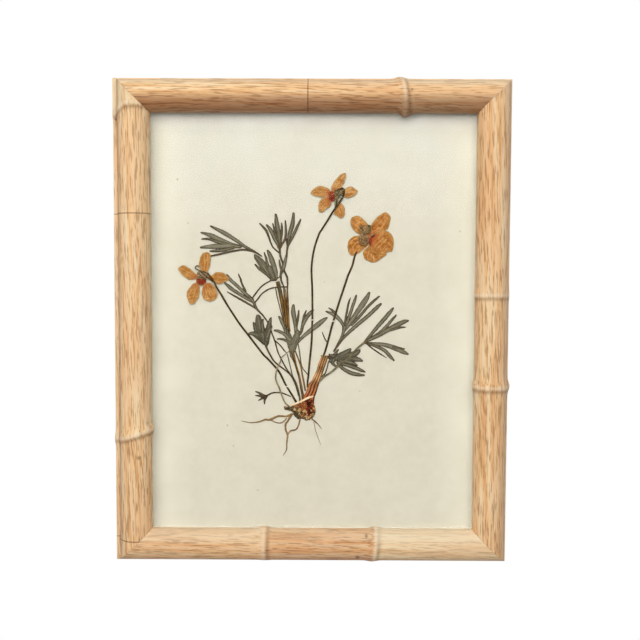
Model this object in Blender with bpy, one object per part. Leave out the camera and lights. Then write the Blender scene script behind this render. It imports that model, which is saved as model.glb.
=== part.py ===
"""Pressed flower frame: a glazed oak frame with a whole plant mounted behind the glass.

Sizes are in millimetres on the sheet: x to the right and z up from the picture's centre,
and height straight out from the wall. The model itself is in metres, with its origin where
the wall nail meets the hanger.
"""
import math

import bmesh
import bpy
from mathutils import Vector
from mathutils.geometry import delaunay_2d_cdt

MM = 0.001
GAP = 0.3

# The sheet, and how far the rails' lips cover it
SHEET_WIDTH = 279.4
SHEET_HEIGHT = 355.6
LIP = 6.0
HALF_WIDTH = SHEET_WIDTH / 2 - LIP
HALF_HEIGHT = SHEET_HEIGHT / 2 - LIP

# Heights off the wall, from the back to the front
HANGER = (1.3, 2.2)
NAIL_HEAD = (0.4, 1.0)
NAIL_TIP = 4.2
BOARD = (2.5, 4.9)
PAPER = (5.2, 5.5)
PLANT_FLOOR = 5.8
LAYER = 0.3
GLASS = (9.0, 11.0)
LIP_UNDER = 11.3
LIP_TOP = 13.3
CREST = 25.0

# The rails' section, across from the outer edge to the opening
LEDGE = 1.4
LEFT_LEDGE = 3.8
OUTER_RUN = 14.4
INNER_RUN = 13.2
EDGE_HEIGHT = 7.5
GROOVE_HEIGHT = 6.4
ROUND_FOOT = 7.0
RAIL_WIDTH = LEDGE + OUTER_RUN + INNER_RUN
MITRE_GAP = 0.15
OVERRUN = 45.0

# The hanger under the top rail
HANGER_WIDTH = 44.0
HANGER_HEIGHT = 9.0
TOOTH = 4.0
TOOTH_DEPTH = 1.6
NAIL_LINE = 164.5
NAIL_SPREAD = 16.0
NAIL_HEAD_RADIUS = 1.6
NAIL_RADIUS = 0.6

# Flat steel points that hold the board in the rebate
POINT_WIDTH = 9.0
POINT_REACH = 2.8
POINT_LENGTH = 12.0

MERGE = 0.02


def layer(number, count=1):
    """Height range of one thin plant layer, or of several from there up."""
    low = PLANT_FLOOR + number * (LAYER + GAP)
    high = PLANT_FLOOR + (number + count - 1) * (LAYER + GAP) + LAYER
    return (low, high)


def surface(name, colour, roughness, metallic=0.0, transmission=0.0):
    """A Principled material from a hex colour."""
    material = bpy.data.materials.new(name)
    material.use_nodes = True
    shader = material.node_tree.nodes["Principled BSDF"]
    channels = [int(colour[i:i + 2], 16) / 255 for i in (0, 2, 4)]
    linear = [c / 12.92 if c <= 0.04045 else ((c + 0.055) / 1.055) ** 2.4 for c in channels]
    shader.inputs["Base Color"].default_value = (*linear, 1.0)
    shader.inputs["Roughness"].default_value = roughness
    shader.inputs["Metallic"].default_value = metallic
    shader.inputs["Transmission Weight"].default_value = transmission
    return material


def add_object(name, bm, material):
    """Turn a bmesh in millimetres into a named object hung on the picture's centre."""
    bmesh.ops.recalc_face_normals(bm, faces=bm.faces)
    bmesh.ops.scale(bm, vec=(MM, MM, MM), verts=bm.verts)
    mesh = bpy.data.meshes.new(name)
    bm.to_mesh(mesh)
    bm.free()
    mesh.materials.append(material)
    made = bpy.data.objects.new(name, mesh)
    bpy.context.scene.collection.objects.link(made)
    made.parent = picture
    return made


def curve(points, steps, closed=False):
    """Points along a smooth curve through the given ones, which may carry a width too."""
    count = len(points)
    spans = count if closed else count - 1
    found = []
    for span in range(spans):
        if closed:
            a, b, c, d = (points[(span + k) % count] for k in (-1, 0, 1, 2))
        else:
            a, b, c, d = (points[min(max(span + k, 0), count - 1)] for k in (-1, 0, 1, 2))
        for step in range(steps):
            t = step / steps
            found.append(tuple(
                0.5 * (2 * q + (r - p) * t + (2 * p - 5 * q + 4 * r - s) * t * t
                       + (3 * q - p - 3 * r + s) * t ** 3)
                for p, q, r, s in zip(a, b, c, d)))
    if not closed:
        found.append(tuple(points[-1]))
    return found


def ribbon(route, steps=2):
    """Outline of a flat strip along a route of x, z and width."""
    line = curve(route, steps)
    left = []
    right = []
    for index, (x, z, width) in enumerate(line):
        before = line[max(index - 1, 0)]
        after = line[min(index + 1, len(line) - 1)]
        way = Vector((after[0] - before[0], after[1] - before[1])).normalized()
        half = max(width, 0.3) / 2
        left.append((x - way.y * half, z + way.x * half))
        right.append((x + way.y * half, z - way.x * half))
    return left + right[::-1]


def petal(points):
    return curve(points, 2, closed=True)


def disc(x, z, radius, sides=12, squash=1.0):
    turns = [2 * math.pi * side / sides for side in range(sides)]
    return [(x + radius * math.cos(turn), z + radius * squash * math.sin(turn)) for turn in turns]


def block(x_low, x_high, z_low, z_high):
    return [(x_low, z_low), (x_high, z_low), (x_high, z_high), (x_low, z_high)]


def anticlockwise(outline):
    pairs = zip(outline, outline[1:] + outline[:1])
    area = sum(a[0] * b[1] - b[0] * a[1] for a, b in pairs)
    return outline if area > 0 else outline[::-1]


def layered(name, material, shapes, cuts=()):
    """One solid from flat outlines, each filling its own height range, less the cuts."""
    every = [(anticlockwise(outline), span) for outline, span in [*shapes, *cuts]]
    points = [Vector(point) for outline, span in every for point in outline]
    faces = []
    for outline, span in every:
        start = sum(len(face) for face in faces)
        faces.append(list(range(start, start + len(outline))))
    flat, edges, tiles, from_points, from_edges, owners = delaunay_2d_cdt(points, [], faces, 0, MERGE)
    heights = sorted({height for outline, span in every for height in span})

    def is_solid(tile, slab):
        if tile is None or not 0 <= slab < len(heights) - 1:
            return False
        inside = [every[owner][1] for owner in owners[tile] if owner < len(shapes)]
        removed = [every[owner][1] for owner in owners[tile] if owner >= len(shapes)]
        middle = (heights[slab] + heights[slab + 1]) / 2
        kept = any(low < middle < high for low, high in inside)
        return kept and not any(low < middle < high for low, high in removed)

    beside = {}
    for number, tile in enumerate(tiles):
        for a, b in zip(tile, tile[1:] + tile[:1]):
            beside.setdefault(frozenset((a, b)), []).append(number)

    bm = bmesh.new()
    corners = {}

    def corner(point, level):
        if (point, level) not in corners:
            spot = flat[point]
            corners[point, level] = bm.verts.new((spot.x, -heights[level], spot.y))
        return corners[point, level]

    for number, tile in enumerate(tiles):
        for slab in range(len(heights) - 1):
            if not is_solid(number, slab):
                continue
            for level, next_slab in ((slab, slab - 1), (slab + 1, slab + 1)):
                if not is_solid(number, next_slab):
                    bm.faces.new([corner(point, level) for point in tile])
            for a, b in zip(tile, tile[1:] + tile[:1]):
                others = [other for other in beside[frozenset((a, b))] if other != number]
                if not is_solid(others[0] if others else None, slab):
                    bm.faces.new([corner(a, slab), corner(b, slab),
                                  corner(b, slab + 1), corner(a, slab + 1)])
    return add_object(name, bm, material)


# The scene, and an empty at the picture's centre, below the nail that it hangs on
for old in list(bpy.data.objects):
    bpy.data.objects.remove(old)
picture = bpy.data.objects.new("picture", None)
bpy.context.scene.collection.objects.link(picture)
picture.location = (0, 0, -NAIL_LINE * MM)

oak = surface("oak", "E0B682", 0.45)
glass = surface("clear_glass", "FFFFFF", 0.02, transmission=1.0)
paper = surface("cream_paper", "EAE4D3", 0.9)
fibreboard = surface("fibreboard", "8A6A48", 0.85)
card = surface("spacer_card", "E6E0D0", 0.9)
steel = surface("zinc_steel", "A9ABAC", 0.4, metallic=1.0)
dry_leaf = surface("dry_leaf", "6B6A55", 0.8)
dark_leaf = surface("dark_dry_leaf", "565443", 0.8)
pale_petal = surface("dry_petal", "C98A3C", 0.6)
deep_petal = surface("deep_dry_petal", "B8742C", 0.6)
stem = surface("dry_stem", "4A3C28", 0.7)
stalk = surface("stalk_bundle", "7A5A34", 0.7)
sheath = surface("red_sheath", "8C4A2A", 0.65)
root = surface("dry_root", "8A7A5C", 0.85)
thread = surface("linen_thread", "E8E2D2", 0.9)


# Rails

def rail_section(ledge):
    """Section of a rail: across, height, spread where a ring swells it, and rise there."""
    crest = ledge + OUTER_RUN
    width = crest + INNER_RUN
    section = [(0, 0, 0, 0), (0, EDGE_HEIGHT, -1, 0), (ledge - 0.8, EDGE_HEIGHT, -1, 0),
               (ledge, GROOVE_HEIGHT, -1, 0)]
    for degrees in (15, 30, 45, 60, 75, 90):
        turn = math.radians(degrees)
        section.append((crest - OUTER_RUN * math.cos(turn),
                        ROUND_FOOT + (CREST - ROUND_FOOT) * math.sin(turn),
                        -math.cos(turn), math.sin(turn)))
    for degrees in (18, 36, 54, 72, 90):
        turn = math.radians(degrees)
        section.append((crest + INNER_RUN * math.sin(turn),
                        LIP_TOP + (CREST - LIP_TOP) * math.cos(turn),
                        math.sin(turn), math.cos(turn)))
    section += [(width, LIP_UNDER, 1, 0), (width - LIP, LIP_UNDER, 0, 0), (width - LIP, 0, 0, 0)]
    return section


def rail(name, along, outward, half_span, half_opening, ledge, rings, slot_at):
    """A half-round rail with carved rings, mitred at both ends.

    Each ring is its place along the rail, its lean, how far it swells outwards and into the
    opening, how far it rises, and how much of that it keeps up to the rail's far end.
    """
    section = rail_section(ledge)
    crest = ledge + OUTER_RUN
    width = crest + INNER_RUN
    stations = [(-half_span - OVERRUN, 0, 0, 0, 0)]
    kept = (0, 0, 0)
    for place, lean, swell_out, swell_in, rise, keep in rings:
        swell = (swell_out, swell_in, rise)
        for offset, share in ((-9, 0), (-4, 0.55), (0, 1), (4, max(0.55, keep)), (9, keep)):
            stations.append((place + offset, lean, *(share * size for size in swell)))
        kept = tuple(keep * size for size in swell)
    stations.append((half_span + OVERRUN, 0, *kept))

    bm = bmesh.new()
    loops = []
    for place, lean, swell_out, swell_in, rise in stations:
        loop = []
        for across, height, spread, lift in section:
            shift = spread * (swell_out if spread < 0 else swell_in)
            out = half_opening + width - across - shift
            run = place + lean * (across - crest)
            spot = along * run + outward * out
            loop.append(bm.verts.new((spot.x, -height - lift * rise, spot.z)))
        loops.append(loop)
    for loop, following in zip(loops, loops[1:]):
        for index in range(len(section)):
            next_index = (index + 1) % len(section)
            bm.faces.new([loop[index], loop[next_index], following[next_index], following[index]])
    bm.faces.new(loops[0])
    bm.faces.new(loops[-1])
    bmesh.ops.recalc_face_normals(bm, faces=bm.faces)

    for end in (-1, 1):
        corner = along * end * half_span + outward * half_opening
        mitre = (along * end - outward).normalized()
        cuts = [(corner - mitre * MITRE_GAP, mitre)]
        if width > RAIL_WIDTH:
            cuts.append((along * end * (half_span + RAIL_WIDTH), along * end))
        for spot, facing in cuts:
            geometry = [*bm.verts, *bm.edges, *bm.faces]
            bmesh.ops.bisect_plane(bm, geom=geometry, dist=0.0001, plane_co=spot,
                                   plane_no=facing, clear_outer=True)
            open_edges = [edge for edge in bm.edges if edge.is_boundary]
            bmesh.ops.holes_fill(bm, edges=open_edges, sides=0)
    made = add_object(name, bm, oak)
    made.data.shade_smooth()
    made.data.set_sharp_from_angle(angle=math.radians(32))

    # The slot in the rebate that takes the steel point
    middle = along * slot_at + outward * (half_opening + LIP)
    size = along * (POINT_WIDTH + 2 * GAP) + outward * 2 * (POINT_REACH + GAP)
    cutter_mesh = bpy.data.meshes.new(name + "_slot")
    bm = bmesh.new()
    bmesh.ops.create_cube(bm, size=1.0)
    depth = HANGER[1] - HANGER[0] + 2 * GAP
    bmesh.ops.scale(bm, vec=(abs(size.x), depth, abs(size.z)), verts=bm.verts)
    bmesh.ops.translate(bm, vec=(middle.x, -sum(HANGER) / 2, middle.z), verts=bm.verts)
    bmesh.ops.scale(bm, vec=(MM, MM, MM), verts=bm.verts)
    bm.to_mesh(cutter_mesh)
    bm.free()
    cutter = bpy.data.objects.new(name + "_slot", cutter_mesh)
    bpy.context.scene.collection.objects.link(cutter)
    cutter.parent = picture
    cutter.hide_render = True
    cutter.display_type = "WIRE"
    slot = made.modifiers.new("slot", "BOOLEAN")
    slot.object = cutter
    slot.operation = "DIFFERENCE"


def steel_point(name, along, outward, half_opening, slot_at):
    """A flat tab on the board's back whose pointed end sits in the rail's slot."""
    rebate = half_opening + LIP
    tail = rebate + POINT_REACH - POINT_LENGTH
    half = POINT_WIDTH / 2
    places = [(-half, tail), (half, tail), (half, rebate), (half * 0.3, rebate + POINT_REACH),
              (-half * 0.3, rebate + POINT_REACH), (-half, rebate)]
    spots = [along * (slot_at + run) + outward * out for run, out in places]
    layered(name, steel, [([(spot.x, spot.z) for spot in spots], HANGER)])


RIGHT = Vector((1, 0, 0))
UP = Vector((0, 0, 1))
# Each ring: place, lean, swell outwards, swell into the opening, rise, share kept after it
rails = [
    ("top", RIGHT, UP, HALF_WIDTH, HALF_HEIGHT, LEDGE,
     [(73.5, 0.18, 1.7, 2.9, 1.6, 0)], 70.0),
    ("right", UP, RIGHT, HALF_HEIGHT, HALF_WIDTH, LEDGE,
     [(-52, 0, 1.7, 1.7, 1.5, 0), (24, 0, 0.5, 0.5, 0.6, 0)], 20.0),
    ("bottom", RIGHT, -UP, HALF_WIDTH, HALF_HEIGHT, LEDGE,
     [(-40, 0, 0.4, 1.4, 1.2, 0), (52, 0.1, 1.0, 1.4, 1.4, 0)], -70.0),
    ("left", UP, -RIGHT, HALF_HEIGHT, HALF_WIDTH, LEFT_LEDGE,
     [(-92.5, 0.28, 0.8, 1.7, 1.6, 0), (175.5, 0.42, 0.6, 0.8, 1.4, 0.5)], -20.0),
]
for number, (side, along, outward, half_span, half_opening, ledge, rings, slot_at) in enumerate(rails, 1):
    rail("rail_" + side, along, outward, half_span, half_opening, ledge, rings, slot_at)
    steel_point(f"framing_point_{number}", along, outward, half_opening, slot_at)


# Glazing, sheet and board

CLEAR_WIDTH = SHEET_WIDTH / 2 - GAP
CLEAR_HEIGHT = SHEET_HEIGHT / 2 - GAP
whole = block(-CLEAR_WIDTH, CLEAR_WIDTH, -CLEAR_HEIGHT, CLEAR_HEIGHT)
layered("glass_pane", glass, [(whole, GLASS)])
layered("mount_paper", paper, [(whole, PAPER)])

SPACER_WIDTH = 4.8
SPACER = (PLANT_FLOOR, GLASS[0] - GAP)
top_low = CLEAR_HEIGHT - SPACER_WIDTH
side_low = CLEAR_WIDTH - SPACER_WIDTH
layered("spacer_top", card, [(block(-CLEAR_WIDTH, CLEAR_WIDTH, top_low, CLEAR_HEIGHT), SPACER)])
layered("spacer_bottom", card, [(block(-CLEAR_WIDTH, CLEAR_WIDTH, -CLEAR_HEIGHT, -top_low), SPACER)])
side_reach = top_low - GAP
layered("spacer_left", card, [(block(-CLEAR_WIDTH, -side_low, -side_reach, side_reach), SPACER)])
layered("spacer_right", card, [(block(side_low, CLEAR_WIDTH, -side_reach, side_reach), SPACER)])

# The hanger's lower edge is a row of teeth, and the wall nail sits in the middle notch
plate_low = NAIL_LINE - TOOTH_DEPTH
plate_outline = [(HANGER_WIDTH / 2, plate_low + HANGER_HEIGHT), (-HANGER_WIDTH / 2, plate_low + HANGER_HEIGHT)]
teeth = int(HANGER_WIDTH / TOOTH)
for number in range(teeth + 1):
    x = -HANGER_WIDTH / 2 + number * TOOTH
    plate_outline.append((x, plate_low if number not in (0, teeth) else NAIL_LINE))
    if number < teeth:
        plate_outline.append((x + TOOTH / 2, NAIL_LINE))
nail_z = plate_low + HANGER_HEIGHT * 0.68
nail_holes = [disc(x, nail_z, NAIL_RADIUS + GAP) for x in (-NAIL_SPREAD, NAIL_SPREAD)]
layered("hanger_plate", steel, [(plate_outline, HANGER)], [(hole, HANGER) for hole in nail_holes])
blind = (BOARD[0], NAIL_TIP + GAP)
layered("backing_board", fibreboard, [(whole, BOARD)], [(hole, blind) for hole in nail_holes])
for side, x in (("left", -NAIL_SPREAD), ("right", NAIL_SPREAD)):
    layered("hanger_nail_" + side, steel,
            [(disc(x, nail_z, NAIL_HEAD_RADIUS), NAIL_HEAD),
             (disc(x, nail_z, NAIL_RADIUS), (NAIL_HEAD[0], NAIL_TIP))])


# Crown, sheath and stalks. A route's points are x, z and width.

crown_outline = curve([(-13.5, -70), (-6, -69.2), (1.5, -67.8), (2.8, -74), (1, -79), (-4.5, -83.5),
                       (-9, -81.5), (-12.5, -82.3), (-16, -78.5), (-17.3, -73)], 2, closed=True)
crown_top = curve([(-12.5, -71.5), (-6, -70.8), (0.2, -70), (1, -75), (-1, -79), (-5, -81.5),
                   (-9.5, -79.8), (-13, -79), (-15, -75)], 2, closed=True)
CROWN_SIDE = (PLANT_FLOOR, 7.1)
CROWN = (PLANT_FLOOR, 8.0)
layered("root_crown", root, [(crown_outline, CROWN_SIDE), (crown_top, CROWN),
                             (disc(-22.5, -72.4, 1.9), CROWN_SIDE),
                             (ribbon([(-22.5, -72.6, 1.6), (-18, -74.2, 1.8), (-14.5, -75, 2)]),
                              CROWN_SIDE)])

THICK = layer(0, 2)
sheath_route = [(9.3, -27.6, 3.6), (7.5, -33.5, 5.8), (3.5, -40.5, 6.8), (0.4, -48, 6.6),
                (-1.2, -55.5, 6.2), (-2.2, -62, 6), (-2.6, -67.3, 5)]
side_stalk = [(14.5, -33.5, 1.6), (11.5, -39.5, 1.6), (7, -44.5, 1.6), (2, -49, 1.6)]
layered("leaf_sheath", sheath, [(ribbon(sheath_route), THICK), (ribbon(side_stalk), layer(0))])

bundle_route = [(-29, 34.5, 3), (-25.5, 28, 5), (-23, 18, 6.3), (-21.5, 2, 6.2), (-21, -5.5, 4.6),
                (-18.6, -18, 5.8), (-17.4, -27, 5.8), (-14, -37.5, 3.8), (-10.7, -48.5, 3.8),
                (-9, -57.5, 4), (-8.6, -68.2, 3.6)]
bundle_side = [(-30.5, 26.5, 1.5), (-28.5, 18.5, 1.6), (-26, 8, 1.8), (-22, -2, 2)]
layered("stalk_bundle", stalk, [(ribbon(bundle_route), layer(0)), (ribbon(bundle_side), layer(0))])


# Roots

root_routes = {
    "root_left": [
        [(-59.5, -83.5, 0.5), (-52.5, -84.5, 1.1), (-45.5, -84, 1.4), (-40, -82, 1.8),
         (-35, -82.5, 2.2), (-28, -79.2, 2), (-23, -79.3, 1.8), (-18.6, -77.4, 1.4)],
        [(-36, -82.3, 1.2), (-31, -84.5, 1.2), (-25.5, -84, 1.2), (-22.8, -80.5, 1.2)]],
    "root_down": [
        [(-16.9, -81.2, 1.8), (-20.5, -83.8, 1.8), (-22.5, -87, 2), (-22, -92, 1.8), (-21, -97.5, 1.5),
         (-20.5, -103, 1.2), (-22, -109, 0.9), (-24.5, -113, 0.5)],
        [(-9.8, -83, 1.6), (-10.5, -85.5, 1.6), (-12, -89, 1.4), (-17, -92, 1.3), (-21, -96.5, 1.3)]],
    "root_right": [
        [(-0.4, -82, 1.2), (4, -85, 1.1), (8, -90, 0.5)],
        [(2.5, -84, 0.9), (4, -90, 0.8), (6, -98, 0.6), (7.5, -103.5, 0.4)]],
}
for name, routes in root_routes.items():
    layered(name, root, [(ribbon(route), THICK) for route in routes])
curl_route = [(-21, -26, 0.7), (-25.5, -30, 1), (-28, -36.5, 1.2), (-30.5, -43, 1.3), (-30, -51, 1.4),
              (-27, -57.5, 1.4), (-23, -65.5, 1.5), (-19.4, -70.2, 1.4)]
layered("root_curl", root, [(ribbon(curl_route), layer(3))])


# Flower stems. Where a petal lies behind one, the stem climbs over it.

FRONT = layer(4)
CLIMB = layer(0, 5)

left_low = [(-75, 21.6, 1.5), (-66, 5.5, 1.5), (-52.5, -11.5, 1.5), (-46, -22.5, 1.5), (-37, -33, 1.5),
            (-29.5, -40, 1.5), (-21.5, -53, 1.6), (-17.5, -60.5, 1.8), (-14.4, -66.8, 1.8)]
left_high = [(-87, 40.5, 1.2), (-82.5, 33.4, 1.4), (-78.5, 28, 1.5), (-74.5, 21, 1.5)]
left_climb = [(-75.9, 23.2, 1.5), (-74.2, 20.3, 1.5)]
left_strand = [(-88.5, 36.6, 1.2), (-84.5, 35.4, 1.2), (-81.6, 32.4, 1.2)]
left_hook = [(-92.5, 42.5, 1.2), (-96.2, 43.8, 1.1), (-97.8, 46.4, 1)]
left_calyx = curve([(-96.6, 42), (-94, 43.5), (-88.5, 43), (-86.5, 40), (-87.5, 36.5), (-89, 33),
                    (-89.5, 30), (-92, 27.8), (-95, 29), (-97.3, 32), (-97, 37)], 2, closed=True)
layered("flower_stem_left", stem, [
    (ribbon(left_low), layer(0)), (ribbon(left_climb, 1), CLIMB), (ribbon(left_high), FRONT),
    (ribbon(left_strand), FRONT), (ribbon(left_hook), FRONT), (left_calyx, FRONT)])

middle_low = [(10.5, 81.8, 1.4), (8.1, 77.5, 1.4), (5.5, 73, 1.4), (1.5, 60.5, 1.4), (-0.5, 45.5, 1.4),
              (0, 26.5, 1.4), (0, 11.5, 1.4), (-0.5, -16, 1.4), (-1.5, -29.5, 1.4), (-3.2, -42.5, 1.4),
              (-5, -50.5, 1.3), (-5.7, -55, 1)]
middle_high = [(18.5, 109.2, 1.2), (24.5, 111.8, 1.3), (26.4, 109.6, 1.4), (25.4, 105.4, 1.5),
               (22.6, 100.3, 1.5), (19.6, 95.4, 1.5), (17.4, 92.5, 1.4), (12.2, 84.6, 1.4), (10, 81, 1.4)]
middle_climb = [(12.4, 85, 1.4), (10.2, 81.3, 1.4)]
middle_calyx = [(18.5, 109.2), (24.4, 111.2), (26, 107), (23.4, 104.4), (21.5, 101.4), (20.7, 98.8),
                (19.4, 95), (18.4, 97.7), (18.3, 101.4)]
layered("flower_stem_middle", stem, [
    (ribbon(middle_low), layer(0)), (ribbon(middle_climb, 1), CLIMB), (ribbon(middle_high), FRONT),
    (middle_calyx, FRONT), (disc(16.8, 105.2, 2.9, squash=1.45), FRONT)])

right_low = [(42, 67.5, 1.4), (38.6, 61, 1.4), (35.5, 54.6, 1.4), (33, 46.5, 1.5), (30, 39, 1.5),
             (28, 33.5, 1.5), (24.5, 25, 1.5), (22.5, 18.5, 1.5), (19, 6.5, 1.5), (17, -2, 1.5),
             (13.2, -15.5, 1.4), (10.6, -25.4, 1.2)]
right_twig = [(8, -8, 0.7), (10, -11.5, 0.9), (13, -16.2, 1)]
layered("flower_stem_right", stem, [
    (ribbon(right_low), layer(0)), (ribbon(right_twig), layer(0)), (disc(42.5, 68.2, 1.7), CLIMB),
    (disc(43.7, 77.4, 4.8, squash=1.1), FRONT), (disc(42.8, 68, 5.4, squash=0.95), FRONT),
    (ribbon([(46.5, 70, 2), (49, 72, 2.2), (51.5, 73.6, 1)]), FRONT)])


# Petals, as the points of each outline and the layer that it lies in

petals = {
    "petal_left": (pale_petal, [
        (3, [(-88, 58.8), (-85, 54), (-84.6, 47), (-86.8, 42.2), (-92, 42.6), (-94, 49), (-92.5, 55)]),
        (3, [(-111.8, 44.3), (-107.2, 47), (-101.7, 44.6), (-98.2, 41.3), (-97.4, 36.6), (-101.7, 35.3),
             (-108, 39)]),
        (3, [(-84.6, 39.6), (-76.2, 41.8), (-71.5, 39.8), (-68.5, 35.5), (-72.7, 33), (-77, 31.6),
             (-81.7, 33.2), (-84, 36.4)]),
        (3, [(-97.4, 33), (-94.2, 27.8), (-94, 22.3), (-96.6, 17.4), (-100.4, 14.2), (-103.8, 17.4),
             (-105.3, 22.3), (-103, 28.3), (-100, 32)]),
        (3, [(-91.4, 31.7), (-86.3, 31.8), (-81.7, 27.8), (-79, 22.7), (-80.8, 19.3), (-85.5, 17.2),
             (-89.8, 18.8), (-92.1, 23.1), (-91.9, 27.5)])]),
    "petal_middle": (pale_petal, [
        (3, [(27.8, 125.2), (22.2, 122.7), (18.9, 119), (16.6, 114.2), (17, 110.6), (20.8, 110.6),
             (24.5, 114), (27.1, 118.3), (28.2, 122.4)]),
        (3, [(26, 110.4), (31.9, 113.4), (35.7, 111.5), (38, 109.2), (35.3, 105.9), (31.2, 103.7),
             (27.3, 104.2), (25.4, 107)]),
        (3, [(-1.3, 108.4), (2.1, 111.9), (7.3, 113.6), (12.2, 112.6), (14.8, 109.8), (14.6, 106.2),
             (9.9, 104.4), (6.2, 103.7), (1.8, 105.7)]),
        (3, [(10.7, 103.5), (14.6, 102.2), (15.9, 98.4), (14, 95.4), (10.7, 94), (7.7, 91.3),
             (5.1, 92.5), (4.8, 97.7), (6.9, 101.6)]),
        (3, [(23.4, 98.8), (26, 96.6), (27.3, 94), (26.9, 89.4), (23.7, 86.7), (20, 88.7), (18.1, 91),
             (19.3, 94.6), (21.1, 97.3)])]),
    "petal_right": (deep_petal, [
        (3, [(31.2, 83.6), (32.6, 86.6), (36.5, 88.5), (40.3, 87.4), (44.6, 84.1), (48.4, 80.4),
             (48.4, 76.4), (42.9, 74.8), (37.3, 74.8), (33.1, 78.9)]),
        (2, [(50.1, 76.8), (48.9, 79.8), (51.9, 85.3), (55.7, 89.6), (60.8, 91.7), (64.6, 89.6),
             (65.4, 85.3), (63.8, 79.8), (61.6, 76.8), (55.7, 75.3)]),
        (1, [(36.5, 71.8), (32.6, 69.9), (29.5, 65.7), (29.4, 60.1), (31.8, 56.3), (35.2, 54.9),
             (40.3, 56.7), (43.6, 61), (41, 64.2), (39.3, 67.4), (39.4, 71.6)]),
        (3, [(48.9, 71.8), (55, 75.3), (61.6, 76.4), (66, 73.8), (68.6, 67.8), (67.6, 62.3),
             (65.4, 58.3), (60, 54.6), (55, 56.6), (50.5, 59), (48.6, 65)]),
        (2, [(48.5, 66.5), (44.8, 61.5), (42.3, 57), (43.8, 52.4), (50.6, 49.7), (56, 50.6),
             (60.4, 54.2), (58, 60), (52, 64.5)])]),
}
for name, (material, outlines) in petals.items():
    for number, (level, points) in enumerate(outlines, 1):
        layered(f"{name}_{number}", material, [(petal(points), layer(level))])


# Leaves, as routes of x, z and width from each lobe's tip towards the stalk

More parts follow.
